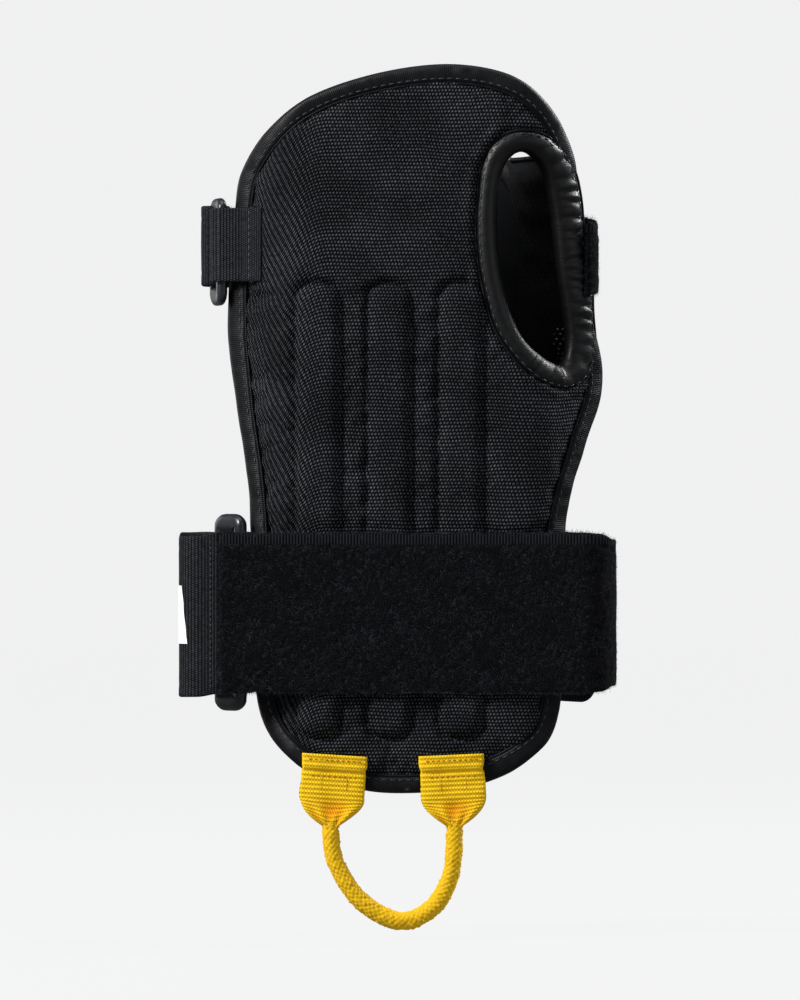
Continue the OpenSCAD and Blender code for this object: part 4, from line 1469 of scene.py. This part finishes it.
def tab_stitches(name, middle, lean, seed):
    # x from the tab's middle, z, height over the cord plane, pitch, length, radius
    rows = (
        (np.linspace(-9.2, 9.2, 30), -76.2, 2.20, 1.65, 1.15, 0.20),
        (np.linspace(-8.2, 8.2, 30), -81.2, 1.35, 1.65, 1.15, 0.20),
        (-3.6, np.linspace(-80.9, -86.4, 8), 1.33, 1.5, 1.0, 0.17),
        (4.2, np.linspace(-80.9, -86.4, 8), 1.33, 1.5, 1.0, 0.17),
    )
    parts = []
    for k, (x, z, rise, *style) in enumerate(rows):
        points = xyz(middle + x + lean * (z - TAB_PIVOT), CORD_Y - rise * 0.80, z - lean * x)
        normals = np.tile([0, -1.0, 0], (len(points), 1))
        parts.append(stitch_line(points, normals, *style, seed=seed + k))
    build(name, merge(parts), MATERIALS["thread_orange"])


def pull_tab(name, middle, node, seed, tilt):
    """Ribbed tape, hemmed at its top and gathered towards the cord at its foot."""
    rows, columns = ((150, 60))
    lean = math.sin(math.radians(tilt))
    z, u = lattice(np.linspace(TAB_TOP, TAB_BOTTOM, rows), np.linspace(-1, 1, columns))
    gather = np.clip((-87.2 - z) / 9.4, 0, 1)
    drawn = ease(gather)
    half = 2.7 + 7.4 * (1 - gather**1.9) + 0.25 * np.sin(gather * np.pi)
    half = half - 0.35 * bump(z + 79.2, 0.8)
    sagged = z - 3.4 * ease(gather * 1.3) * u**2  # the ribs sag round the gather
    body = 1.25 + 1.45 * drawn
    profile = np.sqrt(np.clip(1 - abs(u) ** (8 - 5.8 * drawn), 0, 1))
    folds = np.sin(u * 11 + seed)
    pleat = 0.75 * ease((gather - 0.15) / 0.7) * folds * abs(u) ** 0.4
    rib = 0.13 * np.cos(2 * np.pi * sagged / TAB_RIB)
    hem = 0.85 * ease((z + 79.4) / 0.5) * (0.9 + 0.1 * np.sin((z - TAB_TOP) * 1.2))
    seam = -0.35 * bump(z + 79.9, 0.35)
    fan = np.clip((z + 96.2) / 7.4, 0.08, 1)
    dent = np.exp(-(((u * half - 0.5) / (1.2 + 4.4 * fan)) ** 2) * 1.2
                  - ((z + 91.6) / 2.6) ** 2)
    uneven = 0.16 * noise2(u * 8, z, seed, 5, 16)
    relief = (pleat + rib + uneven + hem + seam) * np.minimum(profile * 1.6, 1)
    front = CORD_Y - (body * profile + relief - 1.35 * dent) * 0.80
    rear = CORD_Y + (body * profile + (0.5 * rib + 0.3 * uneven) * profile) * 0.95
    rear = np.minimum(rear, -24.9 + 1.2 * drawn)
    across = u * half
    tilted = ease((z + 97) / 8)
    x = middle + across * (1 + 0.014 * noise2(u * 3, z, seed + 9, 5, 14))
    x = x + lean * (z - TAB_PIVOT) * tilted
    place_z = z - lean * across * tilted
    shadow = dent * 0.95 + 0.5 * ease((gather - 0.35) / 0.4) * (0.5 - 0.5 * folds)
    coords = xyz(u * 10, sagged, np.clip(shadow, 0, 1))

    count, last = rows * columns, (rows - 1) * columns
    rim = []
    for j in range(columns - 1):
        rim += [(j, j + 1), (last + j + 1, last + j)]
    for i in range(0, last, columns):
        rim += [(i + columns, i), (i + columns - 1, i + 2 * columns - 1)]
    sides = np.array([[a, b, count + b, count + a] for a, b in rim])
    faces = np.vstack([grid_faces(rows, columns),
                       grid_faces(rows, columns, flip=True) + count, sides])
    points = np.stack([xyz(x, front, place_z), xyz(x, rear, place_z)])
    build(name, (points, faces, np.stack([coords, coords])), MATERIALS["yellow_tape"],
          replaces=(node,), recalc=True)
    tab_stitches(name + "_stitches", middle, lean, seed)


pull_tab("pull_tape_outer", -24.5, "pull_tab_outer", seed=201, tilt=3.6)
pull_tab("pull_tape_thumb", 13.9, "pull_tab_thumb", seed=207, tilt=-2.6)

# Middle line of the cord: x, z
CORD_LINE = [
    (-24.5, -95.0), (-24.5, -99.5), (-22.9, -108.0), (-16.4, -118.6), (-7.2, -125.0),
    (0.7, -125.7), (8.0, -121.0), (12.4, -112.9), (13.7, -105.2), (13.9, -99.5), (13.9, -95.0)]


def pull_cord():
    line, stations = resample(spline(CORD_LINE, 20, False), 0.28)
    centres = xyz(line[:, 0], CORD_Y, line[:, 1])
    count, sides = len(line), 44
    normals = np.tile([0, -1.0, 0], (count, 1))
    across = np.cross(tangents(centres), normals)
    s, t = lattice(stations, np.linspace(0, 2 * np.pi, sides, endpoint=False))
    # two crossing sets of strands make the beads of the braid
    turn = s * np.pi / 1.75
    bead = np.sqrt(abs(np.sin(4.5 * t + turn) * np.sin(4.5 * t - turn))) ** 0.9
    radius = 2.30 + 0.46 * bead * (1 + 0.22 * noise2(s, t * 2.6, 212, 1.2, 3))
    radius = radius + 0.10 * noise2(s, t * 2.6, 211, 2.0, 9)
    radius = radius + 0.18 * ease((-112 - centres[:, 2]) / 10)[:, None]
    for from_end in (stations, stations[-1] - stations):
        radius *= 0.86 + 0.14 * ease(from_end / 5)[:, None]
    spokes = np.cos(t)[..., None] * normals[:, None] + np.sin(t)[..., None] * across[:, None]
    points = centres[:, None] + spokes * radius[..., None]
    mesh = points, capped_faces(count, sides), xyz(s, t * 2.8, ease((bead - 0.02) / 0.42))
    thing = build("pull_cord_braid", mesh, MATERIALS["yellow_cord"], None,
                  ("pull_cord",))
    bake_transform(thing)


pull_cord()

# ---------------------------------------------------------------- hidden plastics
# These keep their CAD shape, with or without material slots of their own.
for node in ("palm_stay_outer", "palm_stay_middle", "palm_stay_thumb", "back_splint"):
    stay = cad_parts[node]
    if stay.material_slots:
        for material_slot in stay.material_slots:
            material_slot.material = MATERIALS["stay_plastic"]
    else:
        stay.data.materials.append(MATERIALS["stay_plastic"])

# ---------------------------------------------------------------- stage, in metres
view = scene.view_settings
view.view_transform = "Standard"
view.look = "None"
view.exposure = 0.0
view.gamma = 1.0


def ray_scale(rays, kind, scale, base):
    """base plus scale, the scale counting only for one kind of ray."""
    node = Value.tree.nodes.new("ShaderNodeMath")
    node.operation = "MULTIPLY_ADD"
    for target, item in zip(node.inputs, (Value(rays.outputs[kind]), scale, base)):
        feed(target, item)
    return Value(node.outputs[0])


def studio_world():
    """A pale backdrop for the camera, a dimmer sky for light, dimmer still in gloss."""
    world = bpy.data.worlds.new("studio")
    scene.world = world
    world.use_nodes = True
    tree = world.node_tree
    Value.tree = tree
    sky = tree.nodes["Background"]
    rays = tree.nodes.new("ShaderNodeLightPath")
    backdrop = tree.nodes.new("ShaderNodeBackground")
    switch = tree.nodes.new("ShaderNodeMixShader")
    sky.inputs[0].default_value = (0.90, 0.93, 0.96, 1)
    sky.inputs[1].default_value = 0.50
    feed(sky.inputs[1], ray_scale(rays, "Is Glossy Ray", scale=-0.41, base=0.50))
    backdrop.inputs[0].default_value = (0.874, 0.876, 0.878, 1)
    backdrop.inputs[1].default_value = 1.0
    tree.links.new(rays.outputs["Is Camera Ray"], switch.inputs[0])
    tree.links.new(sky.outputs[0], switch.inputs[1])
    tree.links.new(backdrop.outputs[0], switch.inputs[2])
    tree.links.new(switch.outputs[0], tree.nodes["World Output"].inputs[0])


def floor_plane(z, reach):
    """A dark floor that glows pale, full strength only to the camera."""
    data = bpy.data.meshes.new("floor")
    corners = ((-reach, -reach), (reach, -reach), (reach, reach), (-reach, reach))
    data.from_pydata([(x, y, z) for x, y in corners], [], [(0, 1, 2, 3)])
    floor = bpy.data.objects.new("floor", data)
    scene.collection.objects.link(floor)
    pale = material("floor_pale", (0.62, 0.63, 0.63), rough=0.95, spec=0.0)
    data.materials.append(pale)
    Value.tree = pale.node_tree
    shader = pale.node_tree.nodes["Principled BSDF"]
    shader.inputs["Base Color"].default_value = (0.022, 0.0222, 0.0224, 1)
    shader.inputs["Emission Color"].default_value = (0.862, 0.864, 0.866, 1)
    rays = pale.node_tree.nodes.new("ShaderNodeLightPath")
    seen = ray_scale(rays, "Is Camera Ray", scale=0.52, base=0.48)
    glow = ray_scale(rays, "Is Glossy Ray", scale=-0.36, base=seen)
    feed(shader.inputs["Emission Strength"], glow)


def area(name, place, size, power, color=(1, 1, 1)):
    """A square area light aimed at the origin."""
    light = bpy.data.lights.new(name, "AREA")
    light.shape = "RECTANGLE"
    light.size = light.size_y = size
    light.energy = power
    light.color = color
    lamp = bpy.data.objects.new(name, light)
    scene.collection.objects.link(lamp)
    lamp.location = place
    lamp.rotation_euler = (-Vector(place)).to_track_quat("-Z", "Y").to_euler()


studio_world()
floor_plane(z=-0.1318, reach=6.0)
area("key", (-1.0, -0.62, 0.75), size=0.40, power=26, color=(1.0, 0.985, 0.96))
area("fill", (0.95, -0.75, 0.15), size=0.9, power=1.8, color=(0.95, 0.97, 1.0))
area("top", (0.0, -0.10, 1.15), size=0.8, power=5)
area("rim", (1.0, 0.62, 0.75), size=0.45, power=22, color=(0.97, 0.98, 1.0))
area("back_fill", (-0.9, 0.8, 0.15), size=0.8, power=3)

lens = bpy.data.cameras.new("cam")
camera = bpy.data.objects.new("cam", lens)
scene.collection.objects.link(camera)
scene.camera = camera
camera.location = (-0.003, -3.0, 0.0045)
camera.rotation_euler = (math.radians(90), 0, 0)
lens.lens = 345
lens.sensor_width = 36
lens.clip_end = 20
